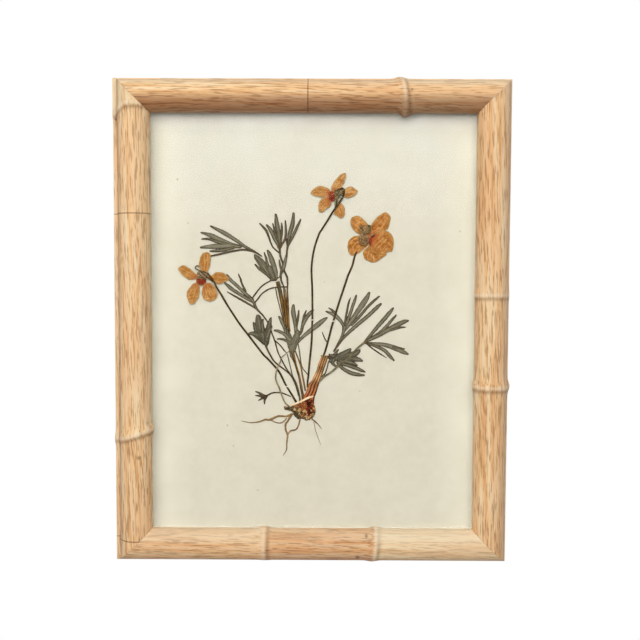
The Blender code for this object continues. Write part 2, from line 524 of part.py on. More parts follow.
leaves = {
    "leaf_upper_left": (2, dry_leaf, [
        [(-85, 79.5, 0.5), (-79, 76.6, 2.8), (-72, 73, 3.8), (-61.5, 66.5, 3), (-56, 62.5, 2.6),
         (-48.5, 58.5, 2), (-42, 54.5, 1)],
        [(-93, 74, 0.5), (-88, 72.8, 2.8), (-83, 71, 4.2), (-77, 68, 4.4), (-67, 63.8, 4),
         (-59.5, 62.5, 2.6)],
        [(-92.5, 68.5, 0.4), (-86, 68.5, 2), (-78, 66, 3), (-70, 64, 3)],
        [(-93.5, 61.5, 0.5), (-88, 62, 3), (-82, 62.5, 4.2), (-74.5, 62.7, 4.4), (-66, 62.8, 3.6),
         (-60, 62, 2)],
        [(-85.5, 58.5, 0.5), (-80, 58.8, 2.4), (-73, 59.6, 2.8), (-65, 61.6, 2.4)],
        [(-88, 53.5, 0.5), (-80, 55.4, 1.6), (-74.5, 56.6, 1.6), (-65, 58.8, 1.5), (-56, 59.8, 1.4),
         (-47.5, 58, 1.4)]]),
    "leaf_top": (2, dry_leaf, [
        [(-44, 82, 0.5), (-38.5, 76, 2.2), (-36.3, 71, 1.6), (-33, 62.5, 1.1), (-27.5, 57.5, 1.3)],
        [(-38.5, 81, 0.6), (-34.5, 76, 3.3), (-31.6, 70, 3.4), (-29, 64.5, 2.6), (-27, 60, 1.6)],
        [(-33, 82, 0.5), (-31.5, 76.5, 1.8), (-30, 70, 2)],
        [(-30.5, 90, 0.6), (-29.5, 81.5, 4), (-27.9, 73.5, 3.6), (-27.2, 66, 2.6), (-27, 60, 1.8),
         (-26.3, 54, 1.6), (-24.4, 48, 1.5), (-24.6, 42, 1.4)],
        [(-25.5, 82.5, 0.5), (-25.3, 76, 2), (-26, 68, 1.8), (-27, 62, 1.4)],
        [(-22.5, 84.5, 0.5), (-22, 77, 2), (-22.3, 70, 2.2), (-25, 64.5, 1.6), (-26.8, 60.5, 1.4)],
        [(-22.4, 71, 1.4), (-21.3, 67, 1.4), (-20.6, 63, 1.4)],
        [(-15.5, 91, 0.6), (-16.5, 81, 3.8), (-18.8, 73, 3.4), (-20, 65.5, 2.2), (-21, 59, 1.5),
         (-21.4, 54, 1.6)],
        [(-9.5, 85.5, 0.5), (-12.5, 79, 2.5), (-16.4, 70.5, 2.4), (-19.8, 64, 1.8)],
        [(-21, 57.5, 1), (-22.5, 50.5, 3), (-24, 44.5, 3), (-26.2, 39.5, 2), (-25.6, 34, 1.4),
         (-24, 30, 1)],
        [(-27.5, 52, 0.5), (-26.7, 47, 2), (-25.2, 42, 2)],
        [(-23.7, 43, 1.8), (-21, 37.5, 1.6), (-20.5, 33, 1.4), (-20.5, 27.5, 1)]]),
    "leaf_upper_middle": (1, dry_leaf, [
        [(-48.5, 56, 0.6), (-45.5, 52.6, 4.8), (-42, 48.5, 6.3), (-37.5, 41.5, 5), (-33.5, 35.5, 3),
         (-30.8, 35, 2)],
        [(-48, 48, 0.5), (-44.5, 44.6, 2.5), (-40, 41.2, 2.6), (-35, 37, 2.2)],
        [(-40, 58, 0.5), (-38.5, 53, 2), (-36.8, 46.5, 2.4)],
        [(-37.5, 60, 0.6), (-35.5, 56, 3.6), (-33.5, 51, 4.6), (-31, 43.5, 4), (-29.6, 37.5, 3),
         (-30.4, 34.6, 1.6)],
        [(-35.5, 45, 4), (-33.5, 39.5, 5), (-31.6, 36, 2.6)]]),
    "leaf_narrow_left": (1, dry_leaf, [
        [(-71.5, 39.5, 0.5), (-68.5, 35.3, 3), (-62.5, 29.8, 3), (-56, 23.8, 3), (-49.5, 18.5, 2.4)],
        [(-73.5, 33, 0.5), (-70, 29.8, 3), (-66, 26.5, 3.3), (-56, 20.2, 3), (-48.5, 16, 2.4)],
        [(-71, 25, 0.4), (-65, 21.5, 1.5), (-56, 16.5, 1.8), (-46.5, 11, 1.8)],
        [(-61.5, 40, 0.5), (-59.8, 36, 1.6), (-58.4, 31.5, 1.7), (-55.4, 25.4, 1.8)],
        [(-52, 20.6, 2.4), (-48.4, 15.4, 2.6), (-46, 10.5, 2), (-41.5, 5.5, 1.5), (-37.5, 0, 1.4),
         (-33.5, -10, 1.4), (-31, -16, 1.4), (-27.5, -27, 1.3), (-24, -34, 1.2), (-18, -42.5, 1)],
        [(-31.6, -14.6, 1.3), (-26, -20.5, 1.1), (-22, -25.5, 0.9)],
        [(-36, 33.6, 1), (-39.5, 31.4, 1.1), (-43.5, 26.5, 1.1), (-47, 23.3, 1.2), (-49.8, 19.8, 1.2)],
        [(-20, 29, 1), (-27.5, 29.2, 1.1), (-33.5, 28, 1.1), (-39, 25.5, 1.1), (-44.5, 21.3, 1.2),
         (-48, 16, 1.2)]]),
    "leaf_centre_left": (2, dry_leaf, [
        [(-28, 5, 0.6), (-25.6, 1, 3.2), (-22.5, -5.5, 3.6), (-19, -13, 5), (-17.5, -19, 6.5),
         (-17.5, -24.5, 2.6)],
        [(-32.3, -7, 0.5), (-28.5, -7.7, 2.7), (-23.5, -10, 3), (-18.5, -15, 4)],
        [(-29.5, -14.5, 0.5), (-25.5, -14.3, 1.8), (-21, -16, 2.4), (-18, -18.5, 3)]]),
    "leaf_centre": (1, dry_leaf, [
        [(-15.5, 15, 0.6), (-15.7, 8.5, 4.2), (-14.5, 1.5, 3.8), (-13.5, -5.5, 3.2), (-13.3, -12, 2.4)],
        [(-11, 10, 0.5), (-11.6, 4, 2), (-12.8, -3, 2)],
        [(-4.5, 10, 0.5), (-6.4, 6, 1.8), (-7.8, -0.5, 2), (-8.2, -6, 2)],
        [(1.5, 10.5, 0.6), (-1.6, 7.4, 3.2), (-4.6, 3.6, 3.6), (-7.8, -3, 3), (-9.2, -9, 2.2),
         (-12.4, -13, 1.8)],
        [(13, 4, 0.6), (9.4, 1.4, 3.4), (5, -2, 4.6), (-1.6, -7.4, 3.8), (-7, -12, 3), (-11, -16, 2.6),
         (-15, -21.5, 1.2)],
        [(-13.3, -8, 2.4), (-12.4, -13.4, 3.2), (-12, -17, 2.4)]]),
    "leaf_upper_right": (1, dry_leaf, [
        [(32, 20.5, 0.5), (30.2, 15, 1.8), (28.2, 4, 2), (27.4, -2, 2)],
        [(37, 23, 0.5), (35.2, 17.4, 2.7), (32.4, 9, 2.8), (29, -1, 2.8)],
        [(48, 25.5, 0.6), (45.6, 20.4, 4), (42.5, 15.5, 5), (37, 7.4, 4.2), (31.5, -1, 3.6),
         (27.4, -6.6, 2.6)],
        [(56.5, 22, 0.5), (52, 18.3, 2.3), (46, 12.4, 2.4), (38.5, 3.4, 2.6), (33, -2, 2.6)],
        [(58, 16, 0.5), (54, 12.4, 3.3), (47, 5.6, 3.4), (38, -2, 3.4), (30, -9.3, 2.8),
         (25, -15, 2), (18.4, -24.6, 1.2)],
        [(11, 9, 0.5), (15, 7.6, 2.4), (19, 5.6, 3.8), (23.5, 1.4, 3.2), (26, -3, 2.6),
         (26.2, -8, 2.2)],
        [(13.5, 12, 0.5), (16.6, 10, 1.8), (19.6, 7, 2.6)],
        [(27.4, -4, 3), (25.4, -11, 2.4), (23, -16, 2), (18.4, -24.4, 1.4)]]),
    "leaf_far_right": (1, dry_leaf, [
        [(68, 12.5, 0.6), (65.4, 9, 3), (61, 3.6, 3.8), (54.5, -4, 3.4), (45, -15.5, 2.4)],
        [(70.5, 6.5, 0.5), (66.4, 1.8, 2.5), (61.6, -4, 2.8), (54.5, -10.5, 3), (48, -14, 2.4)],
        [(81, 1.5, 0.6), (77, 0.6, 3.6), (72, -1.8, 4.6), (64, -6, 4.2), (54.5, -11.5, 3.6),
         (45, -16, 2.6)],
        [(78.5, -4, 0.5), (73.4, -4.4, 1.8), (66, -6.4, 2.4)],
        [(81, -27, 0.6), (76.6, -25, 3.6), (71, -22.2, 4.6), (60, -18.8, 3.6), (48, -17.8, 2.4),
         (44, -17, 2)],
        [(78, -22.4, 0.4), (73.6, -21.6, 1.6), (68, -20.6, 2.4)],
        [(69, -32.5, 0.6), (65.4, -28.6, 3), (60.6, -23.6, 3.3), (54, -20.4, 2.6), (47, -18, 2)],
        [(62.5, -30, 0.4), (55.5, -25.4, 1.1), (50, -21.6, 1.2), (45.5, -17.6, 1.4)],
        [(46, -14.6, 2.4), (39.5, -21, 1.8), (33.6, -26.4, 1.6), (27, -33, 1.5), (23.4, -36.8, 1.4),
         (17.5, -40.8, 1.3), (9.6, -46.2, 1)]]),
    "leaf_low_right": (2, dark_leaf, [
        [(22.5, -22.5, 0.5), (20.4, -25.4, 2.2), (18, -29.6, 3.4), (15.2, -32.8, 2.6)],
        [(14.5, -28, 1.4), (18, -28.6, 3.4), (23, -30, 5), (28, -31.6, 6)],
        [(33, -22, 0.8), (30, -24.4, 3.6), (25.6, -27.4, 5), (19.6, -30.6, 4)],
        [(39.4, -24, 2.4), (36.2, -26.4, 4.6), (31, -28.4, 5.6), (24, -31, 5)],
        [(42.8, -32.6, 0.8), (38.4, -31.2, 3.6), (32, -30.8, 5), (25, -32.4, 5)],
        [(38.5, -36.5, 0.6), (34.6, -34.6, 2.6), (29.6, -33.2, 3.4), (24, -33, 3.6)],
        [(45, -42, 0.5), (40.6, -40, 2.6), (35.4, -38, 3), (28.6, -35.8, 2.8), (22, -34, 3)],
        [(44.5, -44.5, 0.5), (39.4, -44, 2.6), (33.4, -42.8, 3.3), (27, -39.6, 2.8), (22.4, -36, 2.4)],
        [(18.4, -31, 3), (17.4, -34.6, 2.6), (20.5, -37.3, 1.6)]]),
    "leaf_basal_small": (1, dark_leaf, [
        [(-47.5, -58.5, 0.4), (-43.6, -60, 1.8), (-39, -62.6, 1.8)],
        [(-47.5, -62, 0.4), (-43.8, -62.2, 1.7), (-39, -63, 1.8)],
        [(-45, -66.5, 0.4), (-42.4, -64.8, 1.6), (-38.8, -63, 1.7)],
        [(-39.5, -69.5, 0.4), (-39.6, -66.4, 1.6), (-38, -62.6, 1.7)],
        [(-40.4, -63, 1.8), (-34.5, -61, 1.5), (-29.5, -60.2, 1.3), (-24, -60.7, 1.3),
         (-18.4, -62.8, 0.9)]]),
}
for name, (level, material, routes) in leaves.items():
    layered(name, material, [(ribbon(route), layer(level)) for route in routes])

# The dark leaf on the left is one broad blade, so it has an outline of its own
dark_blade = [(-49, 0), (-49.5, -7.5), (-53.5, -10), (-47, -13.4), (-41, -18), (-37.9, -21.6), (-36.8, -20.6),
              (-36.6, -15), (-34, -7.5), (-33.2, -3.5), (-34, 4), (-36.5, 0), (-39, -4.5), (-40.5, -8.5),
              (-40.4, 2), (-42.5, 3.5), (-45.5, 6.5), (-48, 4)]
dark_stalk = [(-37.6, -19, 2), (-35.4, -26, 1.5), (-30.8, -33.6, 1.4), (-25.8, -37.8, 1.3),
              (-18, -43.3, 1.2), (-15, -49.5, 1.1), (-11.8, -57, 0.9)]
layered("leaf_dark_left", dark_leaf, [(dark_blade, layer(2)), (ribbon(dark_stalk), layer(2))])


# Stitches over the stems, and the strap over the crown

STITCH_WIDTH = 0.7
STITCH_LEG = 0.8
for name, x, z, reach in (("stitch_left", -20.4, -54.6, 2.6), ("stitch_middle", 0.1, 1.6, 2.2),
                          ("stitch_right", 17.7, 0.6, 2.3)):
    bar = block(x - reach, x + reach, z - STITCH_WIDTH / 2, z + STITCH_WIDTH / 2)
    left_leg = block(x - reach, x - reach + STITCH_LEG, z - STITCH_WIDTH / 2, z + STITCH_WIDTH / 2)
    right_leg = block(x + reach - STITCH_LEG, x + reach, z - STITCH_WIDTH / 2, z + STITCH_WIDTH / 2)
    layered(name, thread, [(bar, layer(1)), (left_leg, layer(0, 2)), (right_leg, layer(0, 2))])

STRAP = (8.3, 8.6)
strap_route = [(-19, -72, 1.2), (-14.5, -69.5, 1.7), (-7, -66, 1.8), (2, -62, 1.3)]
layered("crown_strap", thread, [(ribbon(strap_route), STRAP)])
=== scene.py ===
"""Pressed flower frame: the finish of a glazed oak frame and of the dried plant in it."""

import math

import bmesh
import bpy
import numpy as np
from mathutils import Matrix, Vector


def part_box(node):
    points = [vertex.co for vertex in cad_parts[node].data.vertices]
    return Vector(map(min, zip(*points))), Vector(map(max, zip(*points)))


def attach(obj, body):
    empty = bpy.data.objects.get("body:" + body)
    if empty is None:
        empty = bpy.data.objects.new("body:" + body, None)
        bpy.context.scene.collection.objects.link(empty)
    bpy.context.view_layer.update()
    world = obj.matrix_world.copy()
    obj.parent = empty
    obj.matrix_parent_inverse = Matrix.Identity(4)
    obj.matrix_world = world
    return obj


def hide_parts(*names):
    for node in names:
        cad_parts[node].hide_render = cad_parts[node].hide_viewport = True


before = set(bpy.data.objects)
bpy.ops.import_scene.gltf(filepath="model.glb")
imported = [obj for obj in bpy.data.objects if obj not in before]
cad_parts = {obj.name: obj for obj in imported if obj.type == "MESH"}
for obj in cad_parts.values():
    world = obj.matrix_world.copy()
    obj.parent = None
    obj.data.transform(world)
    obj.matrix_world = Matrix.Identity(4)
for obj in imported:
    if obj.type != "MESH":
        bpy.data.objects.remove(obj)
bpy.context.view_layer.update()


# Studio
# A plain white backdrop with one large soft light above and a little to the left, and a pale
# floor below the frame, which hangs on a nail. The camera stands before the picture's middle,
# slightly above it, and looks down a little.

sheet_low, sheet_high = (Vector(corner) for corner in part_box("mount_paper"))
CENTRE = Vector(((sheet_low.x + sheet_high.x) / 2, 0, (sheet_low.z + sheet_high.z) / 2))
MM = 0.001

camera = bpy.data.objects.new("camera", bpy.data.cameras.new("camera"))
bpy.context.scene.collection.objects.link(camera)
camera.data.lens = 50
camera.data.sensor_width = 36
spot = CENTRE + Vector((0.009, -0.7459, 0.0445))
turn = Matrix.Rotation(math.radians(0.241), 4, "Z")
tilt = Matrix.Rotation(math.radians(90 - 3.253), 4, "X")
roll = Matrix.Rotation(math.radians(0.235), 4, "Z")
camera.matrix_world = Matrix.Translation(spot) @ turn @ tilt @ roll
bpy.context.scene.camera = camera
bpy.context.scene.view_settings.view_transform = "Standard"


def linear(hex_colour, alpha=1.0):
    """Linear RGBA from an sRGB hex colour."""
    channels = [int(hex_colour[i:i + 2], 16) / 255 for i in (0, 2, 4)]
    return (*(c / 12.92 if c <= 0.04045 else ((c + 0.055) / 1.055) ** 2.4 for c in channels), alpha)


def add(tree, kind, inputs=(), **settings):
    """Add a node, with its settings, and its inputs set or linked."""
    node = tree.nodes.new(kind)
    for name, value in settings.items():
        setattr(node, name, value)
    for key, value in dict(inputs).items():
        if isinstance(value, bpy.types.Node):
            value = value.outputs[0]
        if isinstance(value, bpy.types.NodeSocket):
            tree.links.new(value, node.inputs[key])
        else:
            node.inputs[key].default_value = value
    return node


world = bpy.data.worlds.new("studio")
world.use_nodes = True
bpy.context.scene.world = world
sky = world.node_tree
sky.nodes.clear()
backdrop = add(sky, "ShaderNodeBackground", {"Color": (1, 1, 1, 1), "Strength": 1.0})
fill = add(sky, "ShaderNodeBackground", {"Color": linear("F6F8FF"), "Strength": 0.38})
seen = add(sky, "ShaderNodeLightPath")
both = add(sky, "ShaderNodeMixShader", {0: seen.outputs["Is Camera Ray"], 1: fill, 2: backdrop})
add(sky, "ShaderNodeOutputWorld", {"Surface": both})

key = bpy.data.objects.new("key", bpy.data.lights.new("key", "AREA"))
bpy.context.scene.collection.objects.link(key)
key.data.shape = "RECTANGLE"
key.data.size = 3.2
key.data.size_y = 1.9
key.data.energy = 42.5
# The lamp is screened so that the pane shows no mirror image of it
key.visible_glossy = False
key.data.color = (1.0, 0.99, 0.97)
key_spot = CENTRE + Vector((-0.3, -1.78, 1.05))
key_aim = (CENTRE - key_spot).to_track_quat("-Z", "Y")
key.matrix_world = Matrix.Translation(key_spot) @ key_aim.to_matrix().to_4x4()


def surface(name, roughness, gloss=0.5):
    """A new finish: its material, its nodes and its shader, which is as rough and as glossy as given."""
    material = bpy.data.materials.new(name)
    material.use_nodes = True
    shader = material.node_tree.nodes["Principled BSDF"]
    shader.inputs["Roughness"].default_value = roughness
    shader.inputs["Specular IOR Level"].default_value = gloss
    return material, material.node_tree, shader


FLOOR_RADIUS = 0.85
FLOOR_DROP = 0.95
floor_mesh = bpy.data.meshes.new("floor")
bm = bmesh.new()
bmesh.ops.create_circle(bm, cap_ends=True, segments=96, radius=FLOOR_RADIUS)
bmesh.ops.translate(bm, vec=CENTRE + Vector((0, 0, -FLOOR_DROP)), verts=bm.verts)
bm.to_mesh(floor_mesh)
bm.free()
studio_floor = bpy.data.objects.new("floor", floor_mesh)
bpy.context.scene.collection.objects.link(studio_floor)
floor_paint, tree, shader = surface("matt_white_floor", 0.9)
shader.inputs["Base Color"].default_value = linear("ECECEA")
floor_mesh.materials.append(floor_paint)


# Oak rails
# Four solid oak mouldings, half round in front, turned and carved with raised rings like the
# joints of bamboo, and glued up at mitred corners. The back is rebated for the glass and board.
# The left rail is cut from a wider board, so a flat strip shows beside its half round.

# Sizes in mm: how far a lip covers the sheet, half the opening, the crest's distance from both
# edges of the half round, the flat ledges beside it, and the heights off the wall
LIP = 6.0
HALF_WIDTH = (sheet_high.x - sheet_low.x) / 2 / MM + 0.3 - LIP
HALF_HEIGHT = (sheet_high.z - sheet_low.z) / 2 / MM + 0.3 - LIP
OUTER_RUN = 14.4
INNER_RUN = 13.2
LEDGE = 1.4
LEFT_LEDGE = 3.8
CREST = 25.0
RAIL_WIDTH = LEDGE + OUTER_RUN + INNER_RUN
MITRE_GAP = 0.08
RAIL_STATIONS = 520
GRAIN_DRIFT = 0.03
SIDE_HEIGHT = 7.0
STRIP_HEIGHT = 7.5
LIP_HEIGHT = 13.3
REBATE_HEIGHT = 11.3


def coats(tree, colour, layers):
    """Lay colours over one another: each has a value with two limits, and its share at each limit."""
    for hex_colour, value, start, stop, start_share, stop_share, *blend in layers:
        share = add(tree, "ShaderNodeMapRange", {0: value, 1: start, 2: stop, 3: start_share, 4: stop_share})
        mixed = add(tree, "ShaderNodeMix", {0: share, 6: colour, 7: linear(hex_colour)}, data_type="RGBA",
                    blend_type=blend[0] if blend else "MIX")
        colour = mixed.outputs[2]
    return colour


def dress(tree, shader, colour, height, strength, depth):
    """Give a surface its colour and a fine relief, its depth in metres."""
    bump = add(tree, "ShaderNodeBump", {"Height": height, "Strength": strength, "Distance": depth})
    tree.links.new(colour, shader.inputs["Base Color"])
    tree.links.new(bump.outputs[0], shader.inputs["Normal"])


def specks(tree, spots, inner, outer):
    """A mask of round marks: x and z in mm from the picture's centre, radius in mm and darkness."""
    place = add(tree, "ShaderNodeTexCoord").outputs["Object"]
    flat_place = add(tree, "ShaderNodeVectorMath", {0: place, 1: (1, 0, 1)}, operation="MULTIPLY")
    mask = 0.0
    for x, z, radius, darkness in spots:
        at = CENTRE + Vector((x, 0, z)) * MM
        off = add(tree, "ShaderNodeVectorMath", {0: flat_place, 1: (at.x, 0, at.z)}, operation="DISTANCE")
        mark = add(tree, "ShaderNodeMapRange", {0: off.outputs["Value"], 1: inner * radius * MM,
                                                2: outer * radius * MM, 3: darkness, 4: 0.0})
        mask = add(tree, "ShaderNodeMath", {0: mark, 1: mask}, operation="MAXIMUM")
    return mask


# A turned oak surface under thin satin oil: straight grain and open pores run along each rail,
# the creases beside the carved rings carry painted shade, and each stretch between rings has its own tone.
oak, tree, shader = surface("oiled_oak", 0.5, 0.28)
grain = add(tree, "ShaderNodeAttribute", attribute_name="grain").outputs["Vector"]
tone, joint, ring, shade = (add(tree, "ShaderNodeAttribute", attribute_name=title).outputs["Fac"]
                            for title in ("tone", "joint", "ring", "shade"))
patterns = []
for stretch, detail, roughness, waviness in (
        # Growth bands: about 3 mm apart across the rail and 70 mm long, broken and a little wavy
        ((13, 330, 280), 4.0, 0.62, 0.6),
        # Broad, slow colour change along and across the board, about 30 mm wide
        ((7, 40, 40), 2.0, 0.5, 0.0),
        # Pores: open vessels 0.3 mm wide and 5 to 15 mm long, drawn 0.6 mm wide so that they show
        ((62, 820, 640), 2.0, 0.6, 0.0)):
    space = add(tree, "ShaderNodeMapping", {"Vector": grain, "Scale": stretch})
    patterns.append(add(tree, "ShaderNodeTexNoise", {"Vector": space, "Scale": 1.0, "Detail": detail,
                                                     "Roughness": roughness, "Distortion": waviness}))
bands, clouds, pores = patterns
band_colour = add(tree, "ShaderNodeValToRGB", {"Fac": bands})
scale = band_colour.color_ramp.elements
scale.new(0.47)
for element, position, hex_colour in zip(scale, (0.3, 0.47, 0.66), ("DCA56C", "FDD29A", "FFE9C0")):
    element.position = position
    element.color = linear(hex_colour)
pore_mask = add(tree, "ShaderNodeMapRange", {0: pores, 1: 0.51, 2: 0.63})
red = add(tree, "ShaderNodeMath", {0: tone, 1: 0.0}, operation="MAXIMUM")
# Painted light, below 0, pales the oak, less where the stretch's tone is redder
painted_light_and_tone = add(tree, "ShaderNodeMath", {0: shade, 1: red}, operation="ADD")
# Stain in the glue lines, 0.5 mm wide, and painted shade in the crease beside each ring, 2 mm wide
lines = 0.0
for value, beside, near, far, share in ((joint, 0.0, 0.15, 0.75, 0.75), (ring, 3.2, 0.3, 2.6, 0.4)):
    off = add(tree, "ShaderNodeMath", {0: value, 1: beside}, operation="ADD")
    off_size = add(tree, "ShaderNodeMath", {0: off}, operation="ABSOLUTE")
    line = add(tree, "ShaderNodeMapRange", {0: off_size, 1: near, 2: far, 3: share, 4: 0.0})
    lines = add(tree, "ShaderNodeMath", {0: line, 1: lines}, operation="MAXIMUM")
# Distance from each ring's crest, for its painted highlight
crest = add(tree, "ShaderNodeMath", {0: ring}, operation="ABSOLUTE")
# Knots, a nail hole and a few specks
marks = specks(tree, ((-142.3, -110.7, 1.5, 0.55), (-162.4, 167, 1, 0.7), (37.7, -193.7, 1.6, 0.7),
                      (45, -175.6, 1.1, 0.6), (130.9, -167.7, 0.7, 0.8), (118, -170.8, 0.6, 0.7),
                      (79, 189, 0.9, 0.6)), 0.4, 1.6)
timber = coats(tree, band_colour, (
    ("EFB884", clouds, 0.35, 0.7, 0.0, 0.55),
    ("9E6834", pore_mask, 0.0, 1.0, 0.0, 0.62),
    # Tone of each stretch: above 0 redder and darker, below 0 paler and creamier
    ("C98A58", red, 0.0, 1.0, 0.0, 1.0, "MULTIPLY"),
    ("F0DDB4", tone, 0.0, -1.0, 0.0, 1.0),
    # Dark glue lines, and the painted shade beside each ring
    ("6E4522", lines, 0.0, 1.0, 0.0, 1.0),
    # A painted highlight lies on the crest of each ring, about 3 mm wide
    ("FBEACB", crest, 0.2, 2.4, 0.4, 0.0),
    # Painted shade darkens some edges, value above 0, and painted light pales others
    ("8E5F38", shade, 0.0, 1.0, 0.0, 1.0, "MULTIPLY"),
    ("F3E3C2", painted_light_and_tone, 0.0, -1.0, 0.0, 1.0),
    ("5A3A1E", marks, 0.0, 1.0, 0.0, 1.0)))
gloss = add(tree, "ShaderNodeMapRange", {0: bands, 1: 0.3, 2: 0.7, 3: 0.5, 4: 0.38})
tree.links.new(gloss.outputs[0], shader.inputs["Roughness"])
relief = add(tree, "ShaderNodeMath", {0: bands, 1: pore_mask}, operation="SUBTRACT")
dress(tree, shader, timber, relief, 0.5, 0.00022)


def rail_section(ledge):
    """Section of a rail in mm: across from the outer edge, height off the wall, spread and lift."""
    crest = ledge + OUTER_RUN
    width = crest + INNER_RUN
    section = [(0.0, 0.0, 0, 0), (0.0, 2.5, 0, 0), (0.0, 5, -0.5, 0), (0.0, SIDE_HEIGHT, -1, 0),
               (0.15, SIDE_HEIGHT + 0.35, -1, 0), (0.5, STRIP_HEIGHT, -1, 0)]
    for step in range(1, 4):
        section.append((0.5 + (ledge - 1.0) * step / 3, STRIP_HEIGHT, -1, 0))
    section += [(ledge - 0.2, 7.0, -1, 0), (ledge, 6.6, -1, 0), (ledge + 0.1, 7.6, -1, 0)]
    first_turn = 8
    for step in range(1, 25):
        angle = math.radians(first_turn + (90 - first_turn) * step / 24)
        section.append((crest - OUTER_RUN * math.cos(angle),
                        SIDE_HEIGHT + (CREST - SIDE_HEIGHT) * math.sin(angle),
                        -math.cos(angle), math.sin(angle)))
    last_turn = 58
    for step in range(1, 17):
        angle = math.radians(last_turn * step / 16)
        section.append((crest + INNER_RUN * math.sin(angle),
                        LIP_HEIGHT + (CREST - LIP_HEIGHT) * math.cos(angle),
                        math.sin(angle), math.cos(angle)))
    foot_across, foot_height = section[-1][:2]
    section.append((foot_across + 0.15, foot_height - 0.9, 1, 0.4))
    # The inner edge ends in a small bead
    for step in range(9):
        share = step / 8
        bulge = 0.75 * math.sin(math.pi * share)
        section.append((foot_across + 0.3 + (width - foot_across - 0.3) * share + bulge * 0.25,
                        foot_height - 1.1 + (LIP_HEIGHT - foot_height + 1.1) * share + bulge, 1, 0.3))
    rebate = width - LIP
    section += [(width, 12.3, 1, 0), (width, REBATE_HEIGHT, 1, 0), (rebate, REBATE_HEIGHT, 0, 0),
                (rebate, 5.5, 0, 0), (rebate, 0.0, 0, 0), (rebate - 8, 0.0, 0, 0), (rebate - 16, 0.0, 0, 0)]
    return section


# One carved ring, as a group: how far it swells and lifts the surface at a place on the rail
ring_group = bpy.data.node_groups.new("carved_ring", "GeometryNodeTree")
for name in ("Run", "Across", "Spread", "Lift", "Place", "Lean", "Bend", "Swell out", "Swell in", "Rise",
             "Keep", "Side"):
    ring_group.interface.new_socket(name, in_out="INPUT", socket_type="NodeSocketFloat")
for name in ("Shift", "Raise", "Distance"):
    ring_group.interface.new_socket(name, in_out="OUTPUT", socket_type="NodeSocketFloat")
made = dict(add(ring_group, "NodeGroupInput").outputs.items())
made["outside"] = add(ring_group, "ShaderNodeClamp", {"Value": made["Across"], "Min": -13.0, "Max": 0.0})
# Each row is one sum: its name, its operation and what goes in, by name or as a number
for name, operation, *parts in (
        ("leaned", "MULTIPLY_ADD", "Across", "Lean", "Place"),
        ("outside squared", "MULTIPLY", "outside", "outside"),
        ("curved", "MULTIPLY_ADD", "outside squared", "Bend", "leaned"),
        ("distance", "SUBTRACT", "Run", "curved"),
        ("squared", "MULTIPLY", "distance", "distance"),
        ("spread out", "DIVIDE", "squared", -20.0),
        ("hump", "EXPONENT", "spread out"),
        ("kept part", "DIVIDE", "distance", 5.0),
        ("kept from", "MAXIMUM", "kept part", 0.0),
        ("kept to", "MINIMUM", "kept from", 1.0),
        ("sleeve", "MULTIPLY", "kept to", "Keep"),
        ("size", "MAXIMUM", "hump", "sleeve"),
        ("creased", "MULTIPLY_ADD", "distance", "Side", 3.2),
        ("creased squared", "MULTIPLY", "creased", "creased"),
        ("creased spread", "DIVIDE", "creased squared", -1.6),
        ("crease", "EXPONENT", "creased spread"),
        ("crease depth", "MULTIPLY", "crease", 0.35),
        ("outer", "MINIMUM", "Spread", 0.0),
        ("outer shift", "MULTIPLY", "outer", "Swell out"),
        ("inner", "MAXIMUM", "Spread", 0.0),
        ("inner shift", "MULTIPLY_ADD", "inner", "Swell in", "outer shift"),
        ("shift", "MULTIPLY", "inner shift", "size"),
        ("risen", "MULTIPLY", "size", "Rise"),
        ("raised", "SUBTRACT", "risen", "crease depth"),
        ("lifted", "MULTIPLY", "raised", "Lift")):
    made[name] = add(ring_group, "ShaderNodeMath",
                     {number: made.get(part, part) for number, part in enumerate(parts)},
                     operation=operation)
add(ring_group, "NodeGroupOutput", {"Shift": made["shift"], "Raise": made["lifted"],
                                    "Distance": made["distance"]})


def nearer(tree, off, other):
    """The one of two distances that is nearer to zero."""
    sizes = [add(tree, "ShaderNodeMath", {0: value}, operation="ABSOLUTE") for value in (off, other)]
    closer = add(tree, "FunctionNodeCompare", {0: sizes[0], 1: sizes[1]}, operation="LESS_THAN")
    return add(tree, "GeometryNodeSwitch", {0: closer, 1: other, 2: off}, input_type="FLOAT").outputs[0]


